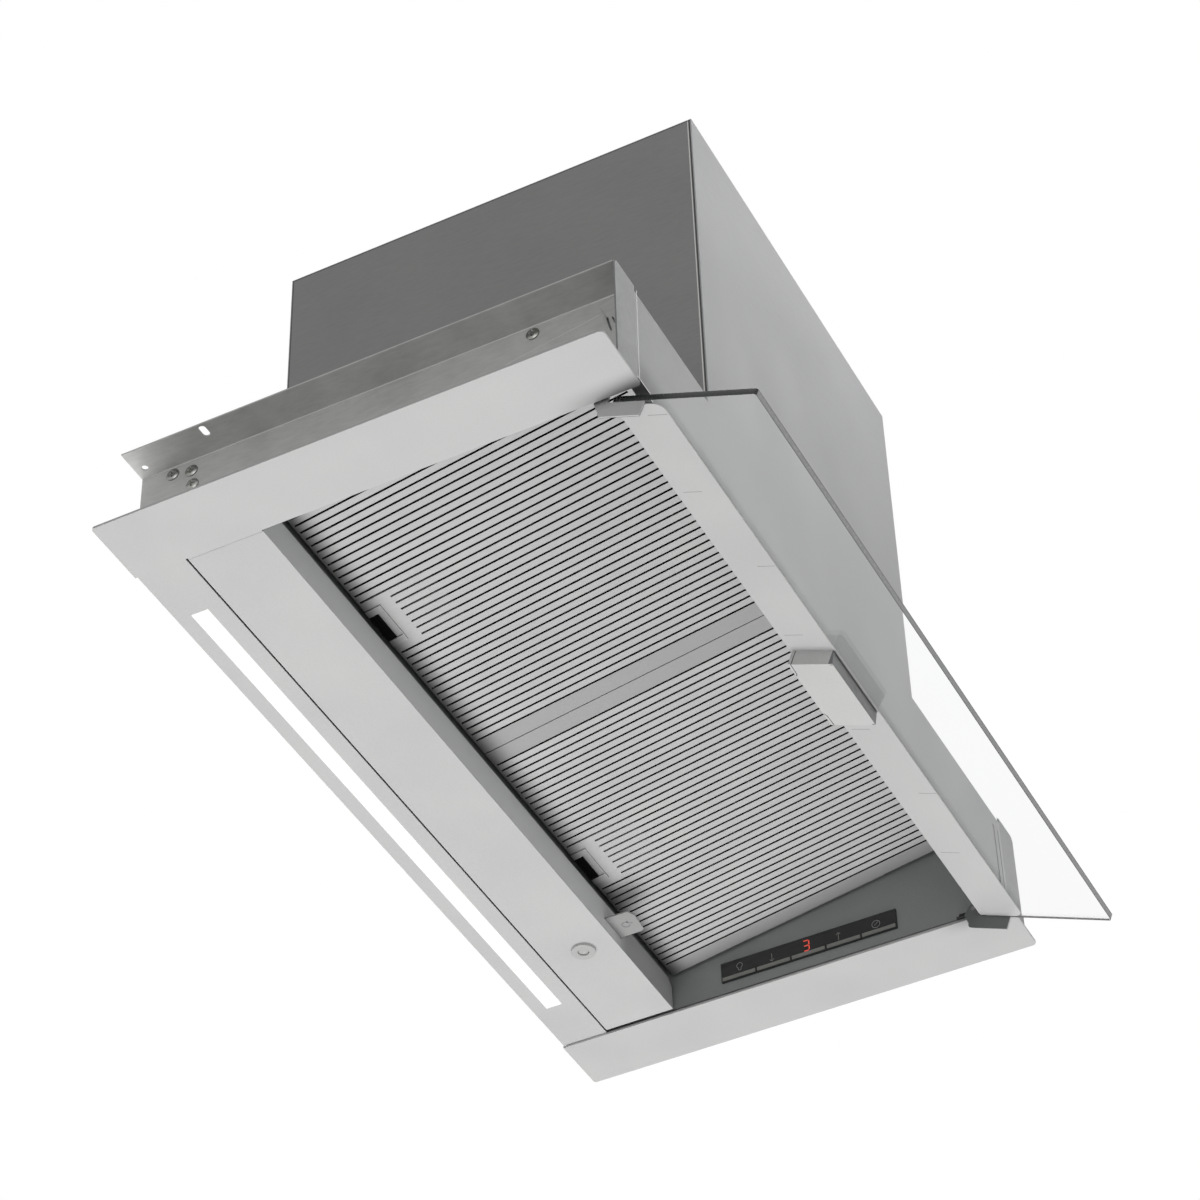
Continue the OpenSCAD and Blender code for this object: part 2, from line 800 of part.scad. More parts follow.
// Raised frame round a filter latch, open to the rear
module latch_plate() {
    y0 = filter_l - latch_plate_l;
    z0 = -bead_drop - latch_plate_t;
    hole = latch_w / 2 + run_gap;
    difference() {
        span([filter_mid_x - latch_plate_w / 2, y0, z0],
            [filter_mid_x + latch_plate_w / 2, filter_l, -bead_drop]);
        span([filter_mid_x - hole, y0 + latch_plate_lip, z0 - over],
            [filter_mid_x + hole, filter_l + over, -bead_drop]);
    }
}

// Expanded metal pack inside a filter
module filter_mesh(left) {
    z0 = -bead_drop + filter_sheet + mesh_gap;
    inset = filter_sheet + mesh_gap;
    color([0.7, 0.7, 0.7]) mirror_x(left) at_filter()
        span([filter_in_x + inset, rim_front + inset, z0],
            [filter_out_x - inset, filter_l - inset, z0 + mesh_t]);
}

// Sliding latch at the rear edge of a filter, with finger ribs
module filter_latch(left) {
    top = -bead_drop - latch_gap;
    low = top - latch_t;
    color([0.08, 0.08, 0.08]) mirror_x(left) at_filter() union() {
        span([filter_mid_x - latch_w / 2, filter_l - latch_l, low],
            [filter_mid_x + latch_w / 2, filter_l, top]);
        for (i = [0:2]) {
            rib_y = filter_l - latch_l + latch_rib_w * (0.5 + 1.5 * i);
            span([filter_mid_x - latch_w / 2 + latch_rib_w, rib_y, low - latch_rib_h],
                [filter_mid_x + latch_w / 2 - latch_rib_w, rib_y + latch_rib_w / 2, low]);
        }
    }
}

// Rear flap: bottom sheet, front wall and the two hinge knuckles
module flap_panel() {
    tab_half = tab_w / 2 + tab_notch_gap;
    color([0.79, 0.79, 0.79]) difference() {
        union() {
            span([-flap_half, flap_y, panel_z], [flap_half, led_y - flap_gap, panel_top_z]);
            flap_wall();
            for (side = [-1, 1]) translate([side * (flap_half - knuckle_l / 2), 0, 0])
                rod_x(-knuckle_l / 2, knuckle_l / 2, flap_axis_y, flap_axis_z, knuckle_r);
        }
        rod_x(-flap_half - over, flap_half + over, flap_axis_y, flap_axis_z, flap_pin_r + pin_gap);
        translate([knob_x, knob_y, panel_z - over])
            cylinder(r = cup_r + cup_gap, h = sheet_t + 2 * over);
        span([tab_x - tab_half, flap_y - over, tab_z - run_gap],
            [tab_x + tab_half, flap_y + sheet_t + over, tab_z + tab_t + run_gap]);
    }
}

// Front wall of the flap, with its upper corners cut off
module flap_wall() {
    translate([0, flap_y + sheet_t, 0]) rotate([90, 0, 0]) linear_extrude(sheet_t) polygon([
        [-flap_half, panel_z], [flap_half, panel_z], [flap_half, flap_wall_z - flap_chamfer],
        [flap_half - flap_chamfer, flap_wall_z], [-flap_half + flap_chamfer, flap_wall_z],
        [-flap_half, flap_wall_z - flap_chamfer]
    ]);
}

// Stub pins from the inner side walls into the flap's knuckles
module flap_hinge_pins() {
    color([0.7, 0.7, 0.7]) for (left = [true, false]) mirror_x(left)
        rod_x(flap_half - knuckle_l + over, wall_x + wall_t, flap_axis_y, flap_axis_z, flap_pin_r);
}

// Release tab: a flat slider through the flap's wall
module flap_latch() {
    nose_y = flap_y - tab_reach;
    half = tab_w / 2;
    color([0.75, 0.75, 0.75]) union() {
        translate([0, 0, tab_z]) linear_extrude(tab_t) polygon([
            [tab_x - half, flap_y + tab_back], [tab_x - half, nose_y + 2 * tab_nose],
            [tab_x - half / 2, nose_y], [tab_x + half - tab_nose, nose_y + tab_nose],
            [tab_x + half, nose_y + 3 * tab_nose], [tab_x + half, flap_y + tab_back]
        ]);
    }
}

// Two posts on the flap that the release tab slides on
module flap_latch_guide() {
    color([0.3, 0.3, 0.3]) for (side = [-1, 1]) {
        x = tab_x + side * (tab_w / 2 - guide_w);
        span([x - guide_w / 2, flap_y + sheet_t, panel_top_z],
            [x + guide_w / 2, flap_y + sheet_t + guide_d, tab_z - latch_gap]);
    }
}

// Raised ring round the catch button, with its socket let into the flap
module catch_bezel() {
    cup_h = knob_t + cup_depth + cup_t;
    color([0.75, 0.75, 0.75]) translate([knob_x, knob_y, panel_z - knob_t]) difference() {
        union() {
            cylinder(r = knob_r, h = knob_t);
            cylinder(r = cup_r, h = cup_h);
        }
        translate([0, 0, -over]) cylinder(r = button_r + button_gap, h = cup_h + 2 * over);
    }
}

// Push catch with its shank and the collar that stops it from falling out
module catch_button() {
    color([0.68, 0.68, 0.68]) translate([knob_x, knob_y, 0]) union() {
        translate([0, 0, panel_z - knob_t + button_sunk]) cylinder(r = button_r, h = button_rise);
        translate([0, 0, panel_z + cup_depth + cup_t + button_gap])
            cylinder(r = button_r + button_lip, h = button_lip);
    }
}

// Visor strip: the metal sheet under the glass and the clip round its back edge
module visor_strip() {
    color([0.79, 0.79, 0.79]) at_visor() union() {
        visor_sheet(strip_x, -glass_back - clip_t, strip_d, 0, strip_t, strip_corner_r);
        visor_span(-strip_x, strip_x, -glass_back - clip_t, -glass_back, 0, glass_top + clip_t);
        visor_span(-strip_x, strip_x, -glass_back, clip_lip, glass_top, glass_top + clip_t);
    }
}

// Glass visor
module visor_glass() {
    color([0.8, 0.88, 0.86, 0.4]) at_visor()
        visor_sheet(glass_x, -glass_back, glass_front, strip_t, glass_t, glass_corner_r);
}

// Handle: a folded box under the strip, its front leaning back to the strip
module visor_handle() {
    half = handle_w / 2;
    front = strip_d + handle_over;
    color([0.72, 0.72, 0.72]) at_visor() difference() {
        along_x(-half, half) polygon([
            [-front, -handle_h], [0, -handle_h], [0, 0], [-front + handle_lean, 0]
        ]);
        along_x(-half + handle_t, half - handle_t) polygon([
            [-front + handle_t, -handle_h + handle_t], [-handle_t, -handle_h + handle_t],
            [-handle_t, over], [-front + handle_lean + handle_t, over]
        ]);
    }
}

// Arm that carries one end of the visor
module visor_arm(left) {
    color([0.55, 0.55, 0.55]) mirror_x(left) at_visor() union() {
        difference() {
            along_x(arm_x, arm_x + arm_t) arm_outline();
            rod_x(arm_x - over, arm_x + arm_t + over, -pivot_u, pivot_v, visor_pin_r);
        }
        visor_span(strip_x, arm_x, arm_foot, arm_front, 0, strip_t);
    }
}

// Outline of an arm, as points along the depth and up the visor's frame
module arm_outline() {
    union() {
        polygon([
            [-arm_front, strip_t], [-arm_front, -arm_low], [arm_toe - arm_toe_r, -arm_low],
            [arm_toe, -arm_low + arm_toe_r], [arm_heel, 0], [-pivot_u + arm_head_r, pivot_v],
            [-pivot_u - arm_head_r, pivot_v], [-glass_back + clip_back + arm_head_r, strip_t]
        ]);
        translate([-pivot_u, pivot_v]) circle(r = arm_head_r);
        translate([arm_toe - arm_toe_r, -arm_low + arm_toe_r]) circle(r = arm_toe_r);
    }
}

// Pivot pins from the arms into the runners
module visor_pins() {
    color([0.7, 0.7, 0.7]) for (left = [true, false]) mirror_x(left) at_visor()
        rod_x(arm_x, runner_out_x, -pivot_u, pivot_v, visor_pin_r);
}

// Runner: an ear round the pivot pin and a tongue over the cover plate
module visor_runner(left) {
    color([0.3, 0.3, 0.3]) mirror_x(left) difference() {
        union() {
            rod_x(runner_x, runner_out_x, pivot_y, pivot_z, ear_r);
            span([runner_x, pivot_y - ear_half, tongue_z], [runner_out_x, pivot_y + ear_half, pivot_z]);
            span([runner_x, pivot_y - tongue_half, tongue_z],
                [tongue_out_x, pivot_y + tongue_half, tongue_z + tongue_t]);
        }
        rod_x(runner_x - over, runner_out_x + over, pivot_y, pivot_z, visor_pin_r + pin_gap);
    }
}

// Radius of the scroll at a share of its sweep
function scroll_r(share) = scroll_r0 + scroll_grow * share;

// Points of the scroll, from the cut-off round to the outlet, and up the outlet
function scroll_points(grow) = [
    for (i = [0:scroll_steps])
        let (share = i / scroll_steps, a = scroll_start + scroll_sweep * share)
            (scroll_r(share) + grow) * [cos(a), sin(a)],
    [scroll_r(1) + grow, outlet_z - fan_z],
    [scroll_r(0) * cos(scroll_start) - grow, outlet_z - fan_z]
];

// Scroll housing with an air inlet on each side, on two feet
module scroll_housing() {
    foot_z = fan_z - scroll_bottom;
    color([0.55, 0.55, 0.57]) difference() {
        union() {
            along_x(fan_x0, fan_x1) translate([fan_y, fan_z]) polygon(scroll_points(fan_wall));
            for (x = [fan_x0, fan_x1 - foot_half])
                span([x, fan_y - foot_half, deck_top_z], [x + foot_half, fan_y + foot_half, foot_z]);
        }
        along_x(fan_x0 + fan_wall, fan_x1 - fan_wall) translate([fan_y, fan_z]) polygon(scroll_points(0));
        span([fan_x0 + fan_wall, fan_y + scroll_r(0) * cos(scroll_start), outlet_z - fan_wall],
            [fan_x1 - fan_wall, fan_y + scroll_r(1), outlet_z + over]);
        rod_x(fan_x0 - over, fan_x1 + over, fan_y, fan_z, inlet_r);
    }
}

// Outlet duct from the scroll's rectangle to the round collar
module outlet_duct() {
    color([0.5, 0.5, 0.52]) difference() {
        duct_loft(fan_wall, 0);
        duct_loft(0, over);
    }
}

// Solid loft between the scroll's outlet and the collar, grown by wall
module duct_loft(grow, past) {
    y0 = fan_y + scroll_r(0) * cos(scroll_start) - grow;
    y1 = fan_y + scroll_r(1) + grow;
    top = box_top_z - sheet_t;
    hull() {
        span([fan_x0 + fan_wall - grow, y0, outlet_z - past],
            [fan_x1 - fan_wall + grow, y1, outlet_z + duct_gap]);
        translate([box_shift, collar_y, top - duct_gap])
            cylinder(r = collar_in_r - fan_wall + grow, h = duct_gap + past, $fn = 32);
    }
}

// Impeller: two rows of blades on a middle disc
module impeller() {
    low = box_shift - impeller_w / 2;
    color([0.2, 0.2, 0.22]) translate([0, fan_y, fan_z]) difference() {
        union() {
            rod_x(box_shift - ring_t / 2, box_shift + ring_t / 2, 0, 0, impeller_r - blade_band / 2);
            rod_x(box_shift - hub_l, box_shift + ring_t / 2, 0, 0, hub_r);
            for (x = [low, low + impeller_w - ring_t]) impeller_ring(x);
            for (i = [0:blades - 1]) rotate([360 * i / blades, 0, 0]) impeller_blade(low);
        }
        rod_x(box_shift - hub_l - over, box_shift + ring_t, 0, 0, shaft_r + pin_gap);
    }
}

// End ring that ties the blades together
module impeller_ring(x) {
    difference() {
        rod_x(x, x + ring_t, 0, 0, impeller_r);
        rod_x(x - over, x + ring_t + over, 0, 0, impeller_r - blade_band);
    }
}

// One blade, leaning forward from the inner to the outer edge
module impeller_blade(low) {
    translate([0, impeller_r - blade_band / 2 - blade_t, 0]) rotate([blade_lean, 0, 0])
        span([low + ring_t / 2, -blade_band / 2 + blade_t, -blade_t / 2],
            [low + impeller_w - ring_t / 2, blade_band / 2 - blade_t, blade_t / 2]);
}

// Motor and its shaft, inside the right row of blades
module motor() {
    color([0.4, 0.4, 0.42]) union() {
        rod_x(box_shift + ring_t / 2 + motor_gap, fan_x1, fan_y, fan_z, motor_r);
        rod_x(box_shift - shaft_end, fan_x1, fan_y, fan_z, shaft_r);
    }
}

// Spider that holds the motor in the right inlet
module motor_bracket() {
    color([0.55, 0.55, 0.55]) union() {
        difference() {
            rod_x(fan_x1, fan_x1 + bracket_t, fan_y, fan_z, motor_r);
            rod_x(fan_x1 - over, fan_x1 + bracket_t + over, fan_y, fan_z, motor_r - bracket_ring);
        }
        for (i = [0:2]) translate([fan_x1, fan_y, fan_z]) rotate([120 * i + 30, 0, 0])
            span([0, motor_r - bracket_ring / 2, -bracket_arm_w / 2],
                [bracket_t, bracket_reach, bracket_arm_w / 2]);
    }
}

// Run capacitor on the back wall of the motor box
module run_capacitor() {
    x = box_x0 + 3 * capacitor_r;
    color([0.85, 0.85, 0.82]) translate([x, box_y1 - sheet_t, fan_z]) rotate([90, 0, 0])
        cylinder(r = capacitor_r, h = capacitor_l);
}

// Duct collar on the motor box's top
module duct_collar() {
    color([0.25, 0.25, 0.25]) translate([box_shift, collar_y, box_top_z]) difference() {
        union() {
            cylinder(r = collar_r, h = collar_h);
            cylinder(r = collar_r + collar_flange_w, h = collar_flange_t);
        }
        translate([0, 0, -over]) cylinder(r = collar_in_r, h = collar_h + 2 * over);
        collar_pin_hole(-collar_r - over);
    }
}

// Hole across the collar for the backflow flaps' pin
module collar_pin_hole(y) {
    translate([0, y, collar_flap_z - box_top_z]) rotate([-90, 0, 0]) cylinder(r = collar_pin_r, h = -2 * y);
}

// Pin across the collar that both backflow flaps turn on
module backflow_pin() {
    color([0.7, 0.7, 0.7]) translate([box_shift, collar_y - collar_r, collar_flap_z])
        rotate([-90, 0, 0]) cylinder(r = collar_pin_r, h = 2 * collar_r);
}

// Backflow flap: a half disc with two knuckles on the pin
module backflow_flap(left) {
    // The left flap's knuckles lie nearer the middle than the right flap's
    near = collar_knuckle_in + (left ? 0 : collar_knuckle_step);
    color([0.3, 0.3, 0.3]) translate([box_shift, collar_y, collar_flap_z]) mirror_x(left) difference() {
        union() {
            difference() {
                translate([0, 0, -flap_plate_t / 2]) cylinder(r = collar_flap_r, h = flap_plate_t);
                span([-collar_r, -collar_r, -flap_plate_t], [flap_pin_gap, collar_r, flap_plate_t]);
            }
            for (side = [-1, 1]) flap_knuckle(side * near);
        }
        translate([0, -collar_r, 0]) rotate([-90, 0, 0])
            cylinder(r = collar_pin_r + pin_gap, h = 2 * collar_r);
    }
}

// One knuckle of a backflow flap, with its web to the plate
module flap_knuckle(y) {
    y0 = y - collar_knuckle_l / 2;
    translate([0, y0, 0]) rotate([-90, 0, 0]) cylinder(r = collar_knuckle_r, h = collar_knuckle_l);
    span([0, y0, -flap_plate_t / 2], [flap_pin_gap + over, y0 + collar_knuckle_l, flap_plate_t / 2]);
}

// Electronics box under the deck, behind the filters
module electronics_box() {
    low = deck_z - unit_h;
    color([0.2, 0.2, 0.2]) difference() {
        span([unit_x0, unit_y0, low], [unit_x0 + unit_l, unit_y0 + unit_d, deck_z]);
        span([unit_x0 + unit_wall, unit_y0 + unit_wall, low + unit_wall],
            [unit_x0 + unit_l - unit_wall, unit_y0 + unit_d - unit_wall, deck_z - unit_wall]);
    }
}

// Gland where the mains lead leaves the motor box
module cable_gland() {
    color([0.1, 0.1, 0.1])
        translate([box_x1 - gland_from_side, box_y1 - sheet_t, box_top_z - gland_from_top])
        rotate([-90, 0, 0]) difference() {
            union() {
                cylinder(r = gland_r, h = gland_l);
                translate([0, 0, sheet_t]) cylinder(r = gland_nut_r, h = gland_nut_l, $fn = 6);
            }
            translate([0, 0, -over]) cylinder(r = gland_bore_r, h = gland_l + 2 * over);
        }
}

// Screws that hold the light panel's upstand to the rear wall
module casing_screws() {
    z = panel_z + led_upstand_h / 2 + screw_head_r;
    color([0.7, 0.7, 0.7]) for (side = [-1, 0, 1])
        translate([side * window_l / 2, rear_y, z]) rotate([90, 0, 0]) mirror([0, 0, 1])
            cylinder(r = screw_head_r, h = screw_head_h);
}

front_panel();
lower_shell();
motor_box_sides();
motor_box_back();
motor_box_top();
side_bracket(true);  // side_bracket_left
side_bracket(false);  // side_bracket_right
bracket_screws();
cover_plate(true);  // cover_plate_left
cover_plate(false);  // cover_plate_right
inner_wall(true);  // inner_wall_left
inner_wall(false);  // inner_wall_right
rear_channel();
filter_front_rail();
led_panel();
led_diffuser();
led_board();
led_housing();
glide_strips();
control_fascia();
control_board();
key_membrane();
key(0);  // key_light
key(1);  // key_down
key(2);  // key_power
key(3);  // key_up
key(4);  // key_timer
filter_frame(true);  // filter_left
filter_frame(false);  // filter_right
filter_mesh(true);  // filter_mesh_left
filter_mesh(false);  // filter_mesh_right
filter_latch(true);  // filter_latch_left
filter_latch(false);  // filter_latch_right
flap_panel();
flap_hinge_pins();
flap_latch();
flap_latch_guide();
catch_bezel();
catch_button();
visor_strip();
visor_glass();
visor_handle();
visor_arm(true);  // visor_arm_left
visor_arm(false);  // visor_arm_right
visor_pins();
visor_runner(true);  // visor_runner_left
visor_runner(false);  // visor_runner_right
scroll_housing();
outlet_duct();
impeller();
motor();
motor_bracket();
run_capacitor();
duct_collar();
backflow_pin();
backflow_flap(true);  // backflow_flap_left
backflow_flap(false);  // backflow_flap_right
electronics_box();
cable_gland();
casing_screws();
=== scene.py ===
"""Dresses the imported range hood: finishes for every sheet, the small fittings, lamps and camera."""

import json
import math

import bmesh
import bpy
import numpy as np
from mathutils import Matrix, Vector

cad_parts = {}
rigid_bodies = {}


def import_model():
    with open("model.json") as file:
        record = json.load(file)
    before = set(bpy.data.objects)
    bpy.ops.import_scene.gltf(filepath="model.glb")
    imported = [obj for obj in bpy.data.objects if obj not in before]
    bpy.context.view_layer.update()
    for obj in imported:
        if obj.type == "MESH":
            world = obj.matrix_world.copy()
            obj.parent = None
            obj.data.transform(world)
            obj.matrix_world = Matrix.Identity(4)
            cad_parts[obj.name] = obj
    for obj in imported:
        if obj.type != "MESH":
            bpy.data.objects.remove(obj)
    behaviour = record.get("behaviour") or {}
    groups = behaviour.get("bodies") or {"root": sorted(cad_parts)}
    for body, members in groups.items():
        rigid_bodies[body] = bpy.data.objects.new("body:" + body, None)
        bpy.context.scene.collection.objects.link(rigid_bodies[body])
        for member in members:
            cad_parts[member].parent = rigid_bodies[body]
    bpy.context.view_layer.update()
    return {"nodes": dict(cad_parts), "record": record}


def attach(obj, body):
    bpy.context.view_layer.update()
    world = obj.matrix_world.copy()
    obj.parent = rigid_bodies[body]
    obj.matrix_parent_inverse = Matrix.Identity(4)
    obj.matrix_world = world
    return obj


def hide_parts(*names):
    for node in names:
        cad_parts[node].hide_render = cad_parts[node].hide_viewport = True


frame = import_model()

MM = 0.001
MERGE_DISTANCE = 0.002 * MM
SHARP_ANGLE = math.radians(32)
AXIS_ORDER = {"Z": [0, 1, 2], "X": [2, 0, 1], "Y": [0, 2, 1]}
ACROSS, BACK, UP = np.eye(3)

# Places of the hood's own parts, in millimetres, as the source has them
WEB_FACE = 258.0
PLATE_EDGE = 254.5
FASCIA_FACE = 254.1
FRONT_FACE, REAR_FACE = -155.0, 155.0
DECK_TOP, FLANGE_LEVEL = 71.0, 72.0
FLAP_END, FLAP_FRONT, FLAP_REAR, FLAP_UNDER = 252.0, 75.3, 122.9, 1.5
KNOB = (168.9, 96.7)
TAB_FACE = 10.0
BOX_LEFT, BOX_RIGHT, BOX_REAR, BOX_TOP = -165.0, 119.0, 121.0, 309.0
COLLAR = (-23.0, -17.0)
COLLAR_SCREW_RING, COLLAR_FLANGE = 79.8, 1.2

# The visor: the middle of its back edge, and the ways out along the glass and up through it
VISOR_TILT = math.radians(22.3)
VISOR_BACK = np.array([0.0, -138.5, -3.4])
VISOR_OUT = np.array([0.0, -math.cos(VISOR_TILT), -math.sin(VISOR_TILT)])
VISOR_LIFT = np.array([0.0, -math.sin(VISOR_TILT), math.cos(VISOR_TILT)])
GLASS_HALF, GLASS_FRONT, GLASS_MIDDLE = 252.5, 86.0, 2.5
HANDLE_HALF, HANDLE_LOW = 30.0, -9.5

# A filter: the middle of the bead that it hangs by, and the ways back along it and up through it
FILTER_TILT = math.radians(9.6)
FILTER_BEAD = np.array([0.0, -132.0, 66.2])
FILTER_BACK = np.array([0.0, math.cos(FILTER_TILT), -math.sin(FILTER_TILT)])
FILTER_LIFT = np.array([0.0, math.sin(FILTER_TILT), math.cos(FILTER_TILT)])
FILTER_LENGTH, FILTER_FACE, FILTER_HEM = 210.4, -2.8, 253.2
FILTER_MIDDLE, SLOTTED_HALF = 127.0, 114.9
LATCH_HALF, LATCH_FRONT = 24.0, 165.0


# Surfaces


def grid(points, wrap_rows=False, wrap_cols=False, caps=False):
    """A surface over two parameters: points is rows x columns x 3, and each cell of it is a quad."""
    rows, cols = points.shape[:2]
    row = np.arange(rows if wrap_rows else rows - 1)[:, None]
    col = np.arange(cols if wrap_cols else cols - 1)[None, :]
    down, right = (row + 1) % rows, (col + 1) % cols
    corners = [row * cols + col, row * cols + right, down * cols + right, down * cols + col]
    faces = np.stack(corners, -1).reshape(-1, 4).tolist()
    if caps:
        faces += [list(range(cols)), list(range((rows - 1) * cols, rows * cols))]
    return points.reshape(-1, 3), faces


def lathe(profile, place, axis="Z", segments=48, flip=1, ring=False):
    """A profile of (radius, height) pairs turned once round an axis; a ring's profile is closed."""
    radius, height = np.asarray(profile, float).T[:, :, None]
    turn = np.linspace(0, 2 * math.pi, segments, endpoint=False)
    turned = np.broadcast_arrays(radius * np.cos(turn), radius * np.sin(turn), height * flip)
    points = np.stack(turned, -1)[:, :, AXIS_ORDER[axis]] + np.asarray(place, float)
    return grid(points, wrap_rows=ring, wrap_cols=True, caps=not ring)


def carried(profile, path, up):
    """A closed profile of (side, up) pairs carried along a path, square to the path's direction."""
    path, profile = np.asarray(path, float), np.asarray(profile, float)
    along = np.gradient(path, axis=0)
    along /= np.linalg.norm(along, axis=1, keepdims=True)
    side = np.cross(along, up)
    side /= np.linalg.norm(side, axis=1, keepdims=True)
    lift = np.cross(side, along)
    points = path[:, None] + profile[:, :1] * side[:, None] + profile[:, 1:] * lift[:, None]
    return grid(points, wrap_cols=True, caps=True)


def rounded(half_w, half_h, corner=0.05, steps=3):
    """A rounded rectangle: quarter circles of one radius about four middles, one at each corner."""
    turn = np.linspace(0, math.pi / 2, steps) + np.arange(4)[:, None] * math.pi / 2
    signs = np.array([[1, 1], [-1, 1], [-1, -1], [1, -1]])[:, None]
    middles = signs * [half_w - corner, half_h - corner]
    return (middles + corner * np.stack([np.cos(turn), np.sin(turn)], -1)).reshape(-1, 2)


def ribbon(path, width, up, rise=0.03):
    """A flat strip along a path, as wide as told, that stands rise proud of the face under it."""
    half = width / 2
    return carried([(-half, -rise), (half, -rise), (half, rise), (-half, rise)], path, up)


def arc(centre, radius, start_deg, end_deg, steps):
    """Points of a circular arc in the plane of its two coordinates."""
    turn = np.radians(np.linspace(start_deg, end_deg, steps))
    return np.stack([centre[0] + radius * np.cos(turn), centre[1] + radius * np.sin(turn)], -1)


def on_plane(points, axis, level):
    """Points of a flat drawing put on the plane where one coordinate has the given level."""
    return np.insert(np.asarray(points, float), axis, level, axis=1)


def tilted(points, origin, along, lift):
    """Origin, plus each of a point's three numbers times its way: across, along and lift."""
    return origin + np.asarray(points, float) @ np.stack([ACROSS, along, lift])


def visor_points(points):
    """Turns (across, depth, height) in the tilted frame of the glass into the hood's own frame."""
    return tilted(points, VISOR_BACK, VISOR_OUT, VISOR_LIFT)


def filter_points(points):
    """Turns (across, along, height) in the sloping frame of a filter into the hood's own frame."""
    return tilted(points, FILTER_BEAD, FILTER_BACK, FILTER_LIFT)


def piece(name, shapes, finish, body, stands_for=()):
    """Joins surfaces given in millimetres into one mesh, gives it its finish and rides it on its body."""
    starts = np.cumsum([0] + [len(points) for points, _ in shapes])
    joined = np.concatenate([points for points, _ in shapes]) * MM
    faces = [[i + start for i in face] for (_, part), start in zip(shapes, starts) for face in part]
    mesh = bpy.data.meshes.new(name)
    mesh.from_pydata(joined.tolist(), [], faces)
    work = bmesh.new()
    work.from_mesh(mesh)
    bmesh.ops.remove_doubles(work, verts=work.verts, dist=MERGE_DISTANCE)
    bmesh.ops.recalc_face_normals(work, faces=work.faces)
    work.to_mesh(mesh)
    work.free()
    mesh.shade_smooth()
    mesh.set_sharp_from_angle(angle=SHARP_ANGLE)
    mesh.materials.append(finish)
    made = bpy.data.objects.new(name, mesh)
    bpy.context.scene.collection.objects.link(made)
    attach(made, body)
    if stands_for:
        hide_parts(*stands_for)


# Zones of a finish, in millimetres: each is a list of ramps, and its share is their product

# Half the length of a ramp that stands for a sharp edge
SHARP = 0.01


def ramp(way, start, end, origin=(0.0, 0.0, 0.0), folds=(), power=1.0):
    """One ramp: the distance from origin along way takes the share smoothly from 0 at start to 1 at end.

    Each number in folds is taken off the distance and the size is kept, so that both sides of it are
    alike. The share is raised to power.
    """
    return way, start, end, origin, folds, power


def above(way, level, **where):
    """A ramp so short that it is an edge: 1 above the level."""
    return ramp(way, level - SHARP, level + SHARP, **where)


def below(way, level, **where):
    """A ramp so short that it is an edge: 1 below the level."""
    return ramp(way, level + SHARP, level - SHARP, **where)


BOTH_SIDES = (0.0,)
BOTH_FILTERS = (0.0, FILTER_MIDDLE)

# The flap's front wall, which looks at the filters, with painted light on it, and the same wall's right
# end, past the tab, with the tab's painted shadow
FLAP_WALL = [below(BACK, FLAP_FRONT + 0.3), above(UP, FLAP_UNDER + 0.3)]
FLAP_WALL_TAB_SHADOW = FLAP_WALL + [ramp(ACROSS, 165, 190)]
# Painted shade: the plain bands of a filter beside its slotted field, and the low rear end under the flap's
# wall
FILTER_BAND_SHADE = [above(ACROSS, SLOTTED_HALF, folds=BOTH_FILTERS)]
FILTER_REAR_SHADE = [ramp(BACK, 57.0, 76.5, power=1.5)]
# The cut walls of a filter's slots, above its outer face, in painted shade: beside the latch plate, and
# before it
SLOT_WALLS = [
    above(FILTER_LIFT, FILTER_FACE + 0.1, origin=FILTER_BEAD),
    below(FILTER_BACK, FILTER_LENGTH - 4, origin=FILTER_BEAD),
    below(ACROSS, SLOTTED_HALF, folds=BOTH_FILTERS),
]
SLOT_WALL_SHADE_BESIDE = SLOT_WALLS + [above(ACROSS, LATCH_HALF, folds=BOTH_FILTERS)]
SLOT_WALL_SHADE_BEFORE = SLOT_WALLS + [below(FILTER_BACK, LATCH_FRONT, origin=FILTER_BEAD)]
# The side of an arm that looks at the filters, in painted shade
ARM_INSIDE_SHADE = [below(ACROSS, 251.3, folds=BOTH_SIDES)]
# A bracket's front ear, in painted shade
BRACKET_EAR_SHADE = [below(BACK, -153.6)]
# The front panel: painted shade darkens it down to its foot and towards the brackets' ears, and the visor's
# shadow is painted on its foot
FRONT_FALL_SHADE = [ramp(UP, 330.0, 20.0)]
FRONT_ENDS_SHADE = [ramp(ACROSS, 165.0, 236.0, folds=BOTH_SIDES)]
FRONT_FOOT_SHADOW = [ramp(UP, 28.0, 1.0)]
# The inner front corner of a cover plate, painted with the shade of the visor's pivot
PLATE_CORNER_SHADE = [ramp(ACROSS, 269.0, 250.0, folds=BOTH_SIDES), ramp(BACK, -98.0, -150.0)]
# The handle's front wall, in painted shade
HANDLE_FRONT_SHADE = [
    above(VISOR_OUT, 26.2, origin=VISOR_BACK),
    above(VISOR_LIFT, HANDLE_LOW + 0.2, origin=VISOR_BACK),
]


# Finishes


def linear(code):
    """Turns an sRGB hex colour into the linear colour that a shader takes."""
    parts = np.array([int(code[i:i + 2], 16) / 255 for i in (1, 3, 5)])
    parts = np.where(parts <= 0.04045, parts / 12.92, ((parts + 0.055) / 1.055) ** 2.4)
    return (*parts.tolist(), 1.0)


def add(tree, kind, inputs=None, **settings):
    """Adds one node: settings are its properties, inputs are values, or what feeds it: sockets or nodes."""
    made = tree.nodes.new("ShaderNode" + kind)
    for key, value in settings.items():
        setattr(made, key, value)
    for key, value in (inputs or {}).items():
        if isinstance(value, bpy.types.Node):
            value = value.outputs[0]
        if isinstance(value, bpy.types.NodeSocket):
            tree.links.new(value, made.inputs[key])
        else:
            made.inputs[key].default_value = value
    return made


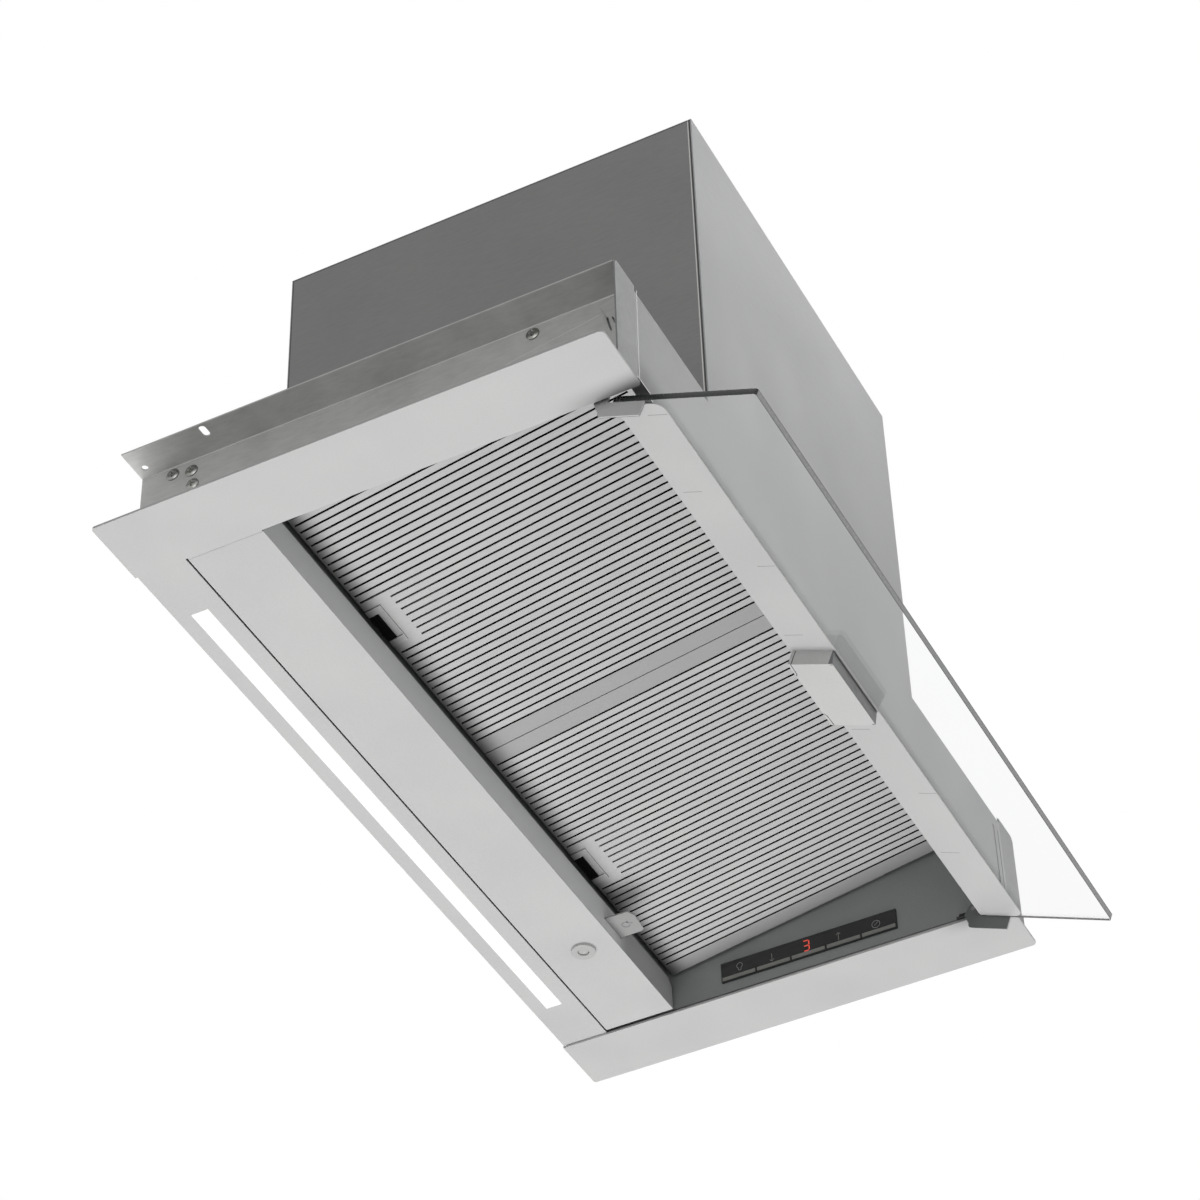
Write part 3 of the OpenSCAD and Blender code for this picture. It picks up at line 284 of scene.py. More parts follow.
def empty_finish(name, roughness, metallic=0.0, ior=1.5, **sockets):
    """A material with one shader, whose constants are set on its own sockets."""
    made = bpy.data.materials.new(name)
    made.use_nodes = True
    tree = made.node_tree
    tree.nodes.clear()
    values = {"Roughness": roughness, "Metallic": metallic, "IOR": ior}
    values.update({key.replace("_", " "): value for key, value in sockets.items()})
    shader = add(tree, "BsdfPrincipled", values)
    add(tree, "OutputMaterial", {"Surface": shader})
    place = add(tree, "TexCoord").outputs["Object"]
    return made, tree, shader, place


def share_of(tree, place, zone):
    """How far each point of a surface belongs to a zone: the product of the zone's ramps."""
    share = 1.0
    for way, start, end, origin, folds, power in zone:
        off = add(tree, "VectorMath", {0: place, 1: [c * MM for c in origin]}, operation="SUBTRACT")
        step = add(tree, "VectorMath", {0: off, 1: [c / MM for c in way]}, operation="DOT_PRODUCT")
        far = step.outputs["Value"]
        for middle in folds:
            side = add(tree, "Math", {0: far, 1: middle}, operation="SUBTRACT")
            far = add(tree, "Math", {0: side}, operation="ABSOLUTE")
        climb = add(tree, "MapRange", {"Value": far, "From Min": start, "From Max": end},
                    interpolation_type="SMOOTHSTEP")
        bent = add(tree, "Math", {0: climb, 1: power}, operation="POWER")
        share = add(tree, "Math", {0: share, 1: bent}, operation="MULTIPLY")
    return share


def texture(tree, shader, place, level, relief, colours, roughnesses, relief_mm, zones=()):
    """Feeds a shader by a pattern.

    The colour and the roughness run from the first to the second of their two values by level, the
    surface rises by relief, at most relief_mm, and each zone is painted over with its own colour.
    """
    paint = add(tree, "Mix", {0: level, 6: linear(colours[0]), 7: linear(colours[1])}, data_type="RGBA")
    for zone, code in zones:
        share = share_of(tree, place, zone)
        paint = add(tree, "Mix", {0: share, 6: paint.outputs[2], 7: linear(code)}, data_type="RGBA")
    rough = add(tree, "MapRange", {"Value": level, "To Min": roughnesses[0], "To Max": roughnesses[1]})
    raised = add(tree, "Bump", {"Height": relief, "Strength": 0.5, "Distance": relief_mm * MM})
    tree.links.new(paint.outputs[2], shader.inputs["Base Color"])
    tree.links.new(rough.outputs[0], shader.inputs["Roughness"])
    tree.links.new(raised.outputs[0], shader.inputs["Normal"])


def sheet_metal(name, dark, light, roughness, grain_mm, along=(1, 1, 1), blotch_mm=60.0, zones=()):
    """Satin sheet: a fine grain drawn out along one axis over soft blotches, with zones painted over.

    Such sheet's real grain, 0.1 to 0.3 mm, is too fine to show, so it is drawn some ten times coarser.
    """
    made, tree, shader, place = empty_finish(name, roughness, ior=1.45)
    drawn_out = add(tree, "Mapping", {"Vector": place, "Scale": along})
    scale = 1000 / grain_mm
    grain = add(tree, "TexNoise", {"Vector": drawn_out, "Scale": scale, "Detail": 3.0, "Roughness": 0.6})
    blotch = add(tree, "TexNoise", {"Vector": place, "Scale": 1000 / blotch_mm, "Detail": 2.0})
    both = add(tree, "Math", {0: grain, 1: blotch}, operation="ADD")
    level = add(tree, "MapRange", {"Value": both, "From Min": 0.7, "From Max": 1.3})
    spread = (roughness - 0.06, roughness + 0.06)
    texture(tree, shader, place, level, grain, (dark, light), spread, 0.03, zones)
    return made


def moulded(name, dark, light, roughness, grain_mm, **sockets):
    """Moulded plastic: a spark-eroded grain of shallow pits, drawn some ten times coarser than real."""
    made, tree, shader, place = empty_finish(name, roughness, **sockets)
    grain = add(tree, "TexNoise", {"Vector": place, "Scale": 1000 / grain_mm, "Detail": 4.0})
    spread = (roughness - 0.05, roughness + 0.08)
    texture(tree, shader, place, grain, grain, (dark, light), spread, 0.04)
    return made


def steel(name, dark, light, roughness, grain_mm):
    """Plated or machined metal: a fine turned grain, drawn some ten times coarser than real."""
    made, tree, shader, place = empty_finish(name, roughness, metallic=1.0)
    grain = add(tree, "TexNoise", {"Vector": place, "Scale": 1000 / grain_mm, "Detail": 4.0})
    spread = (roughness - 0.06, roughness + 0.08)
    texture(tree, shader, place, grain, grain, (dark, light), spread, 0.03)
    return made


def lit(name, dark, light, unlit, strength, roughness, frost_mm, detail):
    """A frosted face lit from behind: its glow drifts a shade, from dark to light, over the frost."""
    made, tree, shader, place = empty_finish(
        name, roughness, Base_Color=linear(unlit), Emission_Strength=strength
    )
    frost = add(tree, "TexNoise", {"Vector": place, "Scale": 1000 / frost_mm, "Detail": detail})
    glow = add(tree, "Mix", {0: frost, 6: linear(dark), 7: linear(light)}, data_type="RGBA")
    tree.links.new(glow.outputs[2], shader.inputs["Emission Color"])
    return made


def clear_glass():
    """Toughened float glass: clear across, with a slow drift in its tint."""
    made, tree, shader, place = empty_finish("toughened_float_glass", 0.0, Transmission_Weight=1.0)
    drift = add(tree, "TexNoise", {"Vector": place, "Scale": 6.0, "Detail": 1.0})
    tint = add(tree, "Mix", {0: drift, 6: linear("#fdfefe"), 7: linear("#ffffff")}, data_type="RGBA")
    tree.links.new(tint.outputs[2], shader.inputs["Base Color"])
    return made


# Hot-dip galvanised steel, skin-passed: a pale satin grey with a fine grain along the coil
galvanised = sheet_metal("galvanised_sheet_skin_passed", "#b8b9ba", "#c6c7c8", 0.42, 1.6, (0.15, 1, 1))
# The front panel: the same steel, painted a little lighter for light on its top, with painted shade towards
# its foot and ends, and the visor's painted shadow at its foot
front_skin = sheet_metal(
    "galvanised_front_panel", "#bebfc0", "#cccdce", 0.42, 1.6, (0.15, 1, 1),
    zones=[(FRONT_FALL_SHADE, "#a8a9aa"), (FRONT_ENDS_SHADE, "#a0a1a2"), (FRONT_FOOT_SHADOW, "#5c5d5d")],
)
# The same steel in a darker grey on the motor box's plain sheets: painted shade
box_zinc = sheet_metal("galvanised_sheet_painted_shade", "#8b8b8b", "#959594", 0.45, 1.6, (1, 0.15, 1))
# Zinc on the brackets: painted light makes it brighter than the body's sheets, its large cloudy patches are
# painted reflections, and the ears are in painted shade
painted_light_brackets = sheet_metal(
    "galvanised_brackets_painted_light", "#cacac8", "#dededc", 0.4, 3.0, (1, 0.3, 1), 34.0,
    zones=[(BRACKET_EAR_SHADE, "#868788")],
)
# Silver-grey coil paint on the faces that a cook sees: even, with hardly a grain
silver_paint = sheet_metal("silver_coil_paint", "#c2c2c2", "#cacac9", 0.45, 0.9)
# The cover plates: the same paint, with painted shade at the corner by the visor's pivot
plate_paint = sheet_metal(
    "silver_coil_paint_plates", "#c2c2c2", "#cacac9", 0.45, 0.9, zones=[(PLATE_CORNER_SHADE, "#4c4c4c")]
)
# The flap: the same paint, with painted light on its inner wall, and the tab's painted shadow there beyond
# the tab
flap_paint = sheet_metal(
    "silver_coil_paint_flap", "#c2c2c2", "#cacac9", 0.45, 0.9,
    zones=[(FLAP_WALL, "#dedfdf"), (FLAP_WALL_TAB_SHADOW, "#a6a7a7")],
)
# Dark satin paint on the walls round the filters
grey_paint = sheet_metal("dark_grey_satin_paint", "#929594", "#9c9f9e", 0.4, 0.9)
# Silver-grey paint on the folded handle, with painted shade on its front wall
handle_paint = sheet_metal(
    "silver_paint_folded", "#c8c8c7", "#d2d2d1", 0.4, 0.9, zones=[(HANDLE_FRONT_SHADE, "#777777")]
)
# The arms: silver outside, with painted shade inside, as dark as the walls
arm_paint = sheet_metal(
    "silver_paint_arm", "#b8b9b8", "#c4c5c4", 0.4, 0.9, zones=[(ARM_INSIDE_SHADE, "#6e7170")]
)
# Anodised aluminium, pressed and slotted: clean light grey, with painted shade on the plain bands, the low
# rear end and the slots' cut walls
anodised = sheet_metal(
    "anodised_aluminium_pressed", "#bdbdbd", "#c7c7c6", 0.4, 1.2, (1, 0.1, 1),
    zones=[(FILTER_BAND_SHADE, "#a9a9a9"), (FILTER_REAR_SHADE, "#3a3a39"),
           (SLOT_WALL_SHADE_BESIDE, "#2c2c2c"), (SLOT_WALL_SHADE_BEFORE, "#2c2c2c")],
)
# Satin-brushed steel: a mid grey on the release tab, paler on the catch
tab_metal = sheet_metal("satin_steel_tab", "#969695", "#a4a4a3", 0.38, 0.7)
catch_metal = sheet_metal("satin_steel_catch", "#b4b4b3", "#c2c2c1", 0.38, 0.7)
# Bare zinc-coated steel of the hidden ducts: cloudy and even
zinc = sheet_metal("zinc_sheet_bare", "#a9aaa9", "#bfc0bf", 0.45, 3.0)
# Nylon and polypropylene, moulded: a dull black, and near black on the latches that stay in the dark
black_nylon = moulded("black_nylon_moulded", "#0c0c0d", "#1a1a1b", 0.5, 0.8)
matt_black = moulded("latch_black_matt", "#020203", "#050506", 0.7, 0.8, Specular_IOR_Level=0.05)
# Acrylic, polished: the glossy black of the control panel
black_acrylic = moulded("black_acrylic_gloss", "#242625", "#2a2c2b", 0.16, 6.0)
# Natural nylon, extruded: the milky white of the glide strips
pale_nylon = moulded("natural_nylon_extruded", "#b4b4b0", "#c0c0bc", 0.45, 0.8)
# Key caps, moulded and painted: a warm satin grey
key_grey = moulded("grey_key_caps_satin", "#84847f", "#8e8e89", 0.35, 0.7)
# Printing ink of the panel's icons: a flat pale grey
icon_print = moulded("icon_print_grey", "#8c8c88", "#969692", 0.5, 0.5)
# Joints between two sheets, seen as lines: dark where deep, and paler where they are fine
dark_gap = moulded("dark_sheet_gap", "#2c2d2d", "#363737", 0.6, 0.8)
fine_gap = moulded("fine_sheet_gap", "#7c7d7d", "#868787", 0.6, 0.8)
# Line pressed into the brackets' webs: near white, a painted highlight along its raised edge
painted_highlight_line = moulded("embossed_line_painted_highlight", "#f0f0ee", "#f8f8f6", 0.5, 0.8)
# Silicone rubber, moulded: a soft dark grey without gloss
rubber = moulded("silicone_membrane", "#3a3a3a", "#464646", 0.7, 0.9)
# Glass-fibre board under green lacquer, and the white-lacquered board of the lamps
board = moulded("circuit_board_lacquered", "#1c5a33", "#236b3d", 0.3, 2.0)
board_white = moulded("white_lamp_board", "#ecece4", "#f6f6f0", 0.4, 1.5)
# Polypropylene, moulded: the off-white shell of the capacitor, and the dark grey impeller
capacitor_white = moulded("capacitor_shell_moulded", "#dcdcd4", "#e8e8e0", 0.45, 1.1)
fan_black = moulded("impeller_moulded", "#3c3c3f", "#48484b", 0.45, 1.2)
# Expanded aluminium, painted near black: painted shade behind the filters' slots
shaded_mesh_paint = moulded("expanded_aluminium_painted_shade", "#070707", "#101010", 0.6, 2.5, Specular_IOR_Level=0.2)
# Zinc-plated steel of the screws: bright and a little blotched
screw_zinc = steel("zinc_plated_screws", "#8a8a88", "#a4a4a0", 0.32, 0.6)
# Cast aluminium of the motor, in a dark metallic paint
motor_paint = steel("motor_casting_painted", "#55565a", "#66686c", 0.5, 1.0)
# Extruded aluminium of the lamp's housing: pale and clean
lamp_profile = steel("extruded_aluminium", "#b8babd", "#c8cacd", 0.35, 0.8)
# Bare steel along a fold, where it catches the light
bright_edge = steel("bright_steel_edge", "#a4a4a3", "#b4b4b2", 0.3, 0.8)
# Frosted acrylic of the light window: it glows evenly, a shade warmer in places
window_frost = lit(
    "frosted_light_window", "#fdfdfb", "#ffffff", unlit="#101010", strength=0.99, roughness=0.5,
    frost_mm=4.0, detail=2.0,
)
# Display segments behind the panel: a clear red glow
display_red = lit(
    "display_segment_red", "#e8503c", "#f25a46", unlit="#3a1210", strength=0.9, roughness=0.4,
    frost_mm=1.111, detail=1.0,
)
glass = clear_glass()
# The glass's ground and polished edges, drawn as opaque lands in painted shade and light: near black at the
# left end, mid grey at the right, pale in front, dark on the front arrises
glass_side_shade_dark = moulded("glass_edge_dark_painted_shade", "#161919", "#242828", 0.25, 1.5)
glass_side_shade_mid = moulded("glass_edge_far_painted_shade", "#7e8080", "#8a8c8c", 0.25, 1.5)
glass_front_light = moulded("glass_edge_front_painted_light", "#9c9d9d", "#a8a9a9", 0.25, 1.5)
glass_arris_shade = moulded("glass_arris_dark_painted_shade", "#565858", "#606262", 0.3, 1.5)

FINISHES = {
    "galvanised": galvanised, "box_zinc": box_zinc, "bracket_metal": painted_light_brackets,
    "cover_metal": silver_paint, "inner_metal": grey_paint, "handle_metal": handle_paint,
    "screw_steel": screw_zinc, "filter_metal": anodised, "mesh_aluminium": shaded_mesh_paint,
    "rail_steel": zinc, "diffuser": window_frost, "led_white": board_white,
    "led_channel": lamp_profile, "black_plastic": black_nylon, "black_gloss": black_acrylic,
    "key_plastic": key_grey, "membrane_rubber": rubber, "board_green": board,
    "tab_metal": tab_metal, "visor_glass": glass, "impeller_plastic": fan_black,
    "motor_metal": motor_paint, "capacitor_plastic": capacitor_white,
}
OWN_FINISHES = {
    "cover_plate_left": plate_paint, "cover_plate_right": plate_paint, "flap_panel": flap_paint,
    "visor_arm_left": arm_paint, "visor_arm_right": arm_paint, "glide_strips": pale_nylon,
    "front_panel": front_skin, "filter_latch_left": matt_black, "filter_latch_right": matt_black,
}
for part in frame["record"]["subparts"]:
    finish = OWN_FINISHES.get(part["node"], FINISHES[part["material_slot"]])
    node = frame["nodes"][part["node"]]
    for holder in [node, *node.children_recursive]:
        if holder.type == "MESH":
            holder.data.materials.clear()
            holder.data.materials.append(finish)


# Screws


def cross_head(place, axis, flip, radius=4.0, rise=1.6):
    """Pan head: its height falls off with the radius to the fourth, less a cross cut into the crown."""
    edge_drop, cross_half, cross_reach, cross_depth = 0.55, 0.42, 2.1, 0.9
    share = np.concatenate([np.linspace(0.02, 0.6, 14), np.linspace(0.66, 1.0, 8)])[:, None]
    turn = np.linspace(0, 2 * math.pi, 64, endpoint=False)[None, :]
    x, y = radius * share * np.cos(turn), radius * share * np.sin(turn)
    dome = rise * (1 - edge_drop * share ** 4) + 0 * turn
    near, far = np.minimum(abs(x), abs(y)), np.maximum(abs(x), abs(y))
    cut = 1 / (1 + np.exp((near - cross_half) / 0.06)) / (1 + np.exp((far - cross_reach) / 0.1))
    top = np.stack([x, y, dome - cross_depth * cut], -1)
    wall = np.stack([x[-1:], y[-1:], np.zeros_like(x[-1:])], -1)
    points = np.concatenate([top, wall])
    points[:, :, 2] *= flip
    return grid(points[:, :, AXIS_ORDER[axis]] + np.asarray(place, float), wrap_cols=True, caps=True)


# In the brackets' webs, as (depth, height): a head and its shank at each place
WEB_SCREWS = [(133.3, 66.1), (120.9, 63.4), (119.7, 52.4), (-94.4, 65.8)]
SHANK = [(1.9, 0), (1.9, -2.4), (1.4, -2.9)]
web_places = [(side, (side * WEB_FACE, y, z)) for side in (-1, 1) for y, z in WEB_SCREWS]
web_heads = [cross_head(place, "X", side) for side, place in web_places]
web_shanks = [lathe(SHANK, place, "X", 24, side) for side, place in web_places]
piece("web_screws", web_heads + web_shanks, screw_zinc, "root", ["bracket_screws"])

# In the rear face
REAR_SCREWS_ACROSS, REAR_SCREW_LEVEL = (-212.8, 0, 212.8), 16.5
rear_heads = [cross_head((x, REAR_FACE, REAR_SCREW_LEVEL), "Y", 1) for x in REAR_SCREWS_ACROSS]
piece("rear_screws", rear_heads, screw_zinc, "root", ["casing_screws"])

# In the motor box: along its back, its top and its foot, and four round the collar's flange
EDGE_IN = 8.0
BACK_SCREW_LEVELS = (84, 150, 225, 298)
TOP_SCREW_DEPTHS, FOOT_SCREW_DEPTHS = (-140, -10, 108), (-132, -10, 108)
box_places = []
for x, side in ((BOX_LEFT, -1), (BOX_RIGHT, 1)):
    box_places += [((x - side * EDGE_IN, BOX_REAR, z), "Y", 1) for z in BACK_SCREW_LEVELS]
    box_places += [((x - side * EDGE_IN, y, BOX_TOP), "Z", 1) for y in TOP_SCREW_DEPTHS]
    box_places += [((x, y, DECK_TOP + EDGE_IN), "X", side) for y in FOOT_SCREW_DEPTHS]
for x, y in arc(COLLAR, COLLAR_SCREW_RING, 45, 315, 4):
    box_places.append(((x, y, BOX_TOP + COLLAR_FLANGE), "Z", 1))
box_heads = [cross_head(place, axis, side, radius=3.2, rise=1.3) for place, axis, side in box_places]
piece("box_screws", box_heads, screw_zinc, "root")


# Catch and release tab of the flap

# A turned ring that stands out of the flap and a push button sunk in it, as (radius, height)
CATCH_RING = [
    (7.75, 1.5), (7.75, -0.08), (7.66, -0.32), (7.45, -0.47), (7.2, -0.5), (4.1, -0.5),
    (3.75, -0.42), (3.55, -0.2), (3.5, 0.1), (3.5, 3.8), (6.9, 3.8), (6.9, 1.5),
]
CATCH_BUTTON = [
    (0.05, 0.66), (1.5, 0.62), (2.4, 0.52), (2.8, 0.5), (3.14, 0.62), (3.3, 0.9), (3.3, 4.0),
    (4.5, 4.0), (4.5, 5.2), (3.3, 5.2), (3.3, 7.9), (3.1, 8.0), (0.05, 8.0),
]
catch_ring = lathe(CATCH_RING, (*KNOB, 0), segments=72, ring=True)
catch_button = lathe(CATCH_BUTTON, (*KNOB, 0))
piece("catch_cup", [catch_ring], catch_metal, "rear_flap", ["catch_bezel"])
piece("catch_nub", [catch_button], catch_metal, "catch", ["catch_button"])

# The tab's icon: an open ring with a hooked tail, raised from the tab's underside
ICON_STROKE, ICON_RISE = 0.7, 0.12
icon_lines = [arc((168.4, 66.4), 2.5, -60, 235, 30), arc((166.2, 62.6), 2.0, -20, 120, 14)]
icon = [ribbon(on_plane(line, 2, TAB_FACE), ICON_STROKE, -UP, ICON_RISE) for line in icon_lines]
piece("tab_icon", icon, fine_gap, "release_tab")


# Control panel: icons printed over the keys and one lit digit, drawn as (along, up)

ICON_LINE, DIGIT_LINE = 0.42, 0.75
BULB = [
    arc((28.2, 20.4), 2.0, -62, 242, 26), [(27.2, 18.6), (27.4, 16.8)], [(29.2, 18.6), (29.0, 16.8)],
    [(27.4, 16.8), (29.0, 16.8)],
]
DOWN_ARROW = [[(5.6, 21.6), (5.6, 15.6)], [(4.1, 17.3), (5.6, 15.6), (7.1, 17.3)]]
UP_ARROW = [[(-40.7, 21.4), (-40.7, 15.4)], [(-42.1, 19.8), (-40.7, 21.4), (-39.3, 19.8)]]
CLOCK = [
    arc((-66.6, 18.6), 2.7, 0, 360, 33), [(-66.6, 18.6), (-67.9, 20.1)], [(-66.6, 18.6), (-65.4, 18.0)],
]
DIGIT = [
    [(-16.6, 23.0), (-20.0, 23.0)], [(-20.4, 22.6), (-20.4, 19.4)], [(-17.0, 19.1), (-20.0, 19.1)],
    [(-20.4, 18.8), (-20.4, 15.6)], [(-16.9, 15.2), (-20.0, 15.2)],
]


def drawn(strokes, width):
    """Flat strokes on the control panel's face."""
    return [ribbon(on_plane(stroke, 0, FASCIA_FACE), width, -ACROSS) for stroke in strokes]


panel_icons = drawn(BULB + DOWN_ARROW + UP_ARROW + CLOCK, ICON_LINE)
piece("panel_icons", panel_icons, icon_print, "root")
piece("display_digit", drawn(DIGIT, DIGIT_LINE), display_red, "root")


# Visor

# Fine slits across its metal strip, each as (across, depth from, depth to)
STRIP_SLITS = [
    (-241, 15, 27), (-176, 3, 15), (-109, 16, 27), (-45, 2, 14), (48, 2, 14), (114.5, 16, 27.5),
    (179, 2, 15),
]
slits = [ribbon(visor_points([(x, a, 0), (x, b, 0)]), 0.32, -VISOR_LIFT) for x, a, b in STRIP_SLITS]
piece("strip_slits", slits, fine_gap, "visor")

# Handle: the gap beside its rear lip at each end, and the relief nicks at the front corners
lip_gaps = []
for side in (-1, 1):
    end = side * HANDLE_HALF
    end_gap = [(end, 2.1, -0.2), (end, 2.1, HANDLE_LOW)]
    low_gap = [(end, 1.9, HANDLE_LOW), (side * 20.5, 1.5, HANDLE_LOW), (side * 18.8, 0.5, HANDLE_LOW)]
    nick = [(side * 29.2, 28.8, HANDLE_LOW), (side * 29.2, 27.2, HANDLE_LOW)]
    lip_gaps.append(ribbon(visor_points(end_gap), 0.5, side * ACROSS))
    lip_gaps.append(ribbon(visor_points(low_gap), 0.5, -VISOR_LIFT))
    lip_gaps.append(ribbon(visor_points(nick), 0.6, -VISOR_LIFT))
piece("handle_gaps", lip_gaps, dark_gap, "visor")

lip = visor_points([(-29.2, 27.6, -0.5), (29.2, 27.6, -0.5)])
piece("handle_lip", [ribbon(lip, 0.55, VISOR_OUT, 0.3)], bright_edge, "visor")


# Body

# The strip that closes the gap between the flap's left end and the cover plate
gap_middle, gap_level = -(FLAP_END + PLATE_EDGE) / 2, FLAP_UNDER + 0.1
gap_line = [(gap_middle, FLAP_FRONT + 0.3, gap_level), (gap_middle, FLAP_REAR - 0.1, gap_level)]
piece("flap_gap_cover", [ribbon(gap_line, 2.3, -UP, 0.05)], silver_paint, "root")

# Folds are pale where a bend catches the light, seams are dark where two sheets meet
BOX_FRONT_SEAM, BOX_FRONT_FOLD, BOX_FOOT, BOX_HEAD = -153.7, -152.6, 74.5, 308.6
SEAM_IN = 1.0
EMBOSSED_LINE = [(-134.2, 60.5), (-77.4, 50.4)]
BLADE = [(-134.6, 67.2), (-138.2, 57.5), (-140.4, 46.6), (-137.2, 53.0)]
BLADE_SUNK, BLADE_OUT = 0.4, np.array([[0.1], [1.7], [0.4], [0.1]])
folds, seams, blades, embossed = [], [], [], []
for side, wall in ((-1, BOX_LEFT), (1, BOX_RIGHT)):
    out, web = side * ACROSS, side * WEB_FACE
    flange_bend = [(web, -153.5, FLANGE_LEVEL), (web, 153.5, FLANGE_LEVEL)]
    foot_fold = [(side * 257.6, FRONT_FACE, 4.35), (side * 238, FRONT_FACE, 4.35)]
    ear_fold = [(side * 255.0, FRONT_FACE, 5.0), (side * 254.2, FRONT_FACE, 73.0)]
    box_fold = [(wall, BOX_FRONT_FOLD, BOX_FOOT), (wall, BOX_FRONT_FOLD, BOX_HEAD)]
    folds += [ribbon(flange_bend, 1.1, out - UP, 0.35), ribbon(foot_fold, 0.6, -BACK),
              ribbon(ear_fold, 0.5, -BACK), ribbon(box_fold, 0.6, out)]
    front_seam = [(wall, BOX_FRONT_SEAM, BOX_FOOT), (wall, BOX_FRONT_SEAM, BOX_HEAD)]
    rear_seam = [(wall, BOX_REAR - SEAM_IN, 71.6), (wall, BOX_REAR - SEAM_IN, 307.8)]
    top_seam = [(wall, -153.0, BOX_TOP - SEAM_IN), (wall, 120.6, BOX_TOP - SEAM_IN)]
    seams += [ribbon(front_seam, 1.0, out), ribbon(rear_seam, 0.5, out), ribbon(top_seam, 0.5, out)]
    embossed.append(ribbon(on_plane(EMBOSSED_LINE, 0, web), 0.4, out, 0.06))
    outline = on_plane(BLADE, 0, web)
    blade = np.stack([outline - BLADE_SUNK * out, outline + BLADE_OUT * out])
    blades.append(grid(blade, wrap_cols=True, caps=True))
back_seam = [(BOX_LEFT + 0.4, BOX_REAR, BOX_TOP - SEAM_IN), (BOX_RIGHT - 0.4, BOX_REAR, BOX_TOP - SEAM_IN)]
seams.append(ribbon(back_seam, 0.5, BACK))
piece("embossed_lines", embossed, painted_highlight_line, "root")
piece("bright_folds", folds, bright_edge, "root")
piece("box_seams", seams, dark_gap, "root")
piece("web_blades", blades, painted_light_brackets, "root")


# Filters

# Hem of the outer end, by the distance along the filter: a pale fold between two dark gaps
HEM_GAPS, HEM_FOLD = [(6, 58), (150, 206)], (58, 150)
# Expanded metal: half the waves' lengths, their middle height and swing, and the sheet's thickness
STRAND_ACROSS, STRAND_ALONG = 6.0, 4.0
PACK_LEVEL, PACK_SWING, PACK_THICK = 0.55, 1.5, 0.5


def hem_line(side, ends):
    """A line on the outer face of a filter, along its outer end."""
    return filter_points([(side * FILTER_HEM, along, FILTER_FACE) for along in ends])


def lattice(side):
    """One sheet whose height is a product of two sines, like stretched metal, and its rim."""
    across, along = np.meshgrid(np.linspace(2.2, 252.0, 126), np.linspace(6.5, 208.5, 102))
    swing = np.sin(math.pi * across / STRAND_ACROSS) * np.sin(math.pi * along / STRAND_ALONG)
    under = filter_points(np.stack([side * across, along, PACK_LEVEL + PACK_SWING * swing], -1))
    over = under + PACK_THICK * UP
    loops = [np.concatenate([f[0], f[1:, -1], f[-1, -2::-1], f[-2:0:-1, 0]]) for f in (under, over)]
    return [grid(under), grid(over), grid(np.stack(loops), wrap_cols=True)]


for name, side in (("left", -1), ("right", 1)):
    body = f"grease_filter_{name}"
    gaps = [ribbon(hem_line(side, ends), 0.55, -FILTER_LIFT) for ends in HEM_GAPS]
    fold = ribbon(hem_line(side, HEM_FOLD), 0.45, -FILTER_LIFT)
    piece(f"filter_hem_gap_{name}", gaps, dark_gap, body)
    piece(f"filter_hem_fold_{name}", [fold], bright_edge, body)
    piece(f"mesh_pack_{name}", lattice(side), shaded_mesh_paint, body, [f"filter_mesh_{name}"])


# Glass edges


def glass_land(name, points, finish, half_height=1.85, middle=GLASS_MIDDLE, half_width=0.06):
    """A thin land along one edge of the glass, given as (across, depth) points; its finish paints the
    edge's shade and light.
    """
    path = visor_points([(x, u, middle) for x, u in points])
    land = carried(rounded(half_width, half_height), path, VISOR_LIFT)
    piece(name, [land], finish, "visor")


# One land of painted shade on each free side, and along the front a land of painted light with its two dark
# arrises of painted shade
SIDE_BACK, CORNER_WIDE, CORNER_DEEP = 6.0, 1.3, 0.8
ARRIS_FROM_MIDDLE, ARRIS_HALF = 1.68, 0.2
front_line = [(CORNER_WIDE - GLASS_HALF, GLASS_FRONT), (GLASS_HALF - CORNER_WIDE, GLASS_FRONT)]
for name, side, finish in (("left", -1, glass_side_shade_dark), ("right", 1, glass_side_shade_mid)):
    side_line = [(side * GLASS_HALF, SIDE_BACK), (side * GLASS_HALF, GLASS_FRONT - CORNER_DEEP)]
    glass_land(f"glass_edge_{name}", side_line, finish)
glass_land("glass_edge_front", front_line, glass_front_light)
for name, side in (("low", -1), ("high", 1)):
    middle = GLASS_MIDDLE + side * ARRIS_FROM_MIDDLE
    glass_land(f"glass_arris_{name}", front_line, glass_arris_shade, ARRIS_HALF, middle, half_width=0.1)


# Stage, lamps and camera

FLOOR_LEVEL, FLOOR_HALF = -3.7, 70.0
AMBIENT = 0.22
HOOD_CENTRE = Vector((0.0, 0.0, 0.12))
CAMERA_PLACE = Vector((-1.4248, -0.6941, -1.3235))
CAMERA_RIGHT = Vector((0.455181, -0.890074, -0.024055))
CAMERA_UP = Vector((-0.591519, -0.322473, 0.738997))
CAMERA_FORWARD = Vector((0.665519, 0.322149, 0.673279))
SENSOR_WIDTH, FOCAL_LENGTH = 36.0, 106.1
CLIP_START, CLIP_END = 0.05, 200.0


def seen_share(tree):
    """1 for a ray that the eye sees, straight, in gloss or through glass, and 0 for one that lights."""
    rays = add(tree, "LightPath").outputs
    seen = add(tree, "Math", {0: rays["Is Camera Ray"], 1: rays["Is Glossy Ray"]}, operation="MAXIMUM")
    return add(tree, "Math", {0: seen, 1: rays["Is Transmission Ray"]}, operation="MAXIMUM")


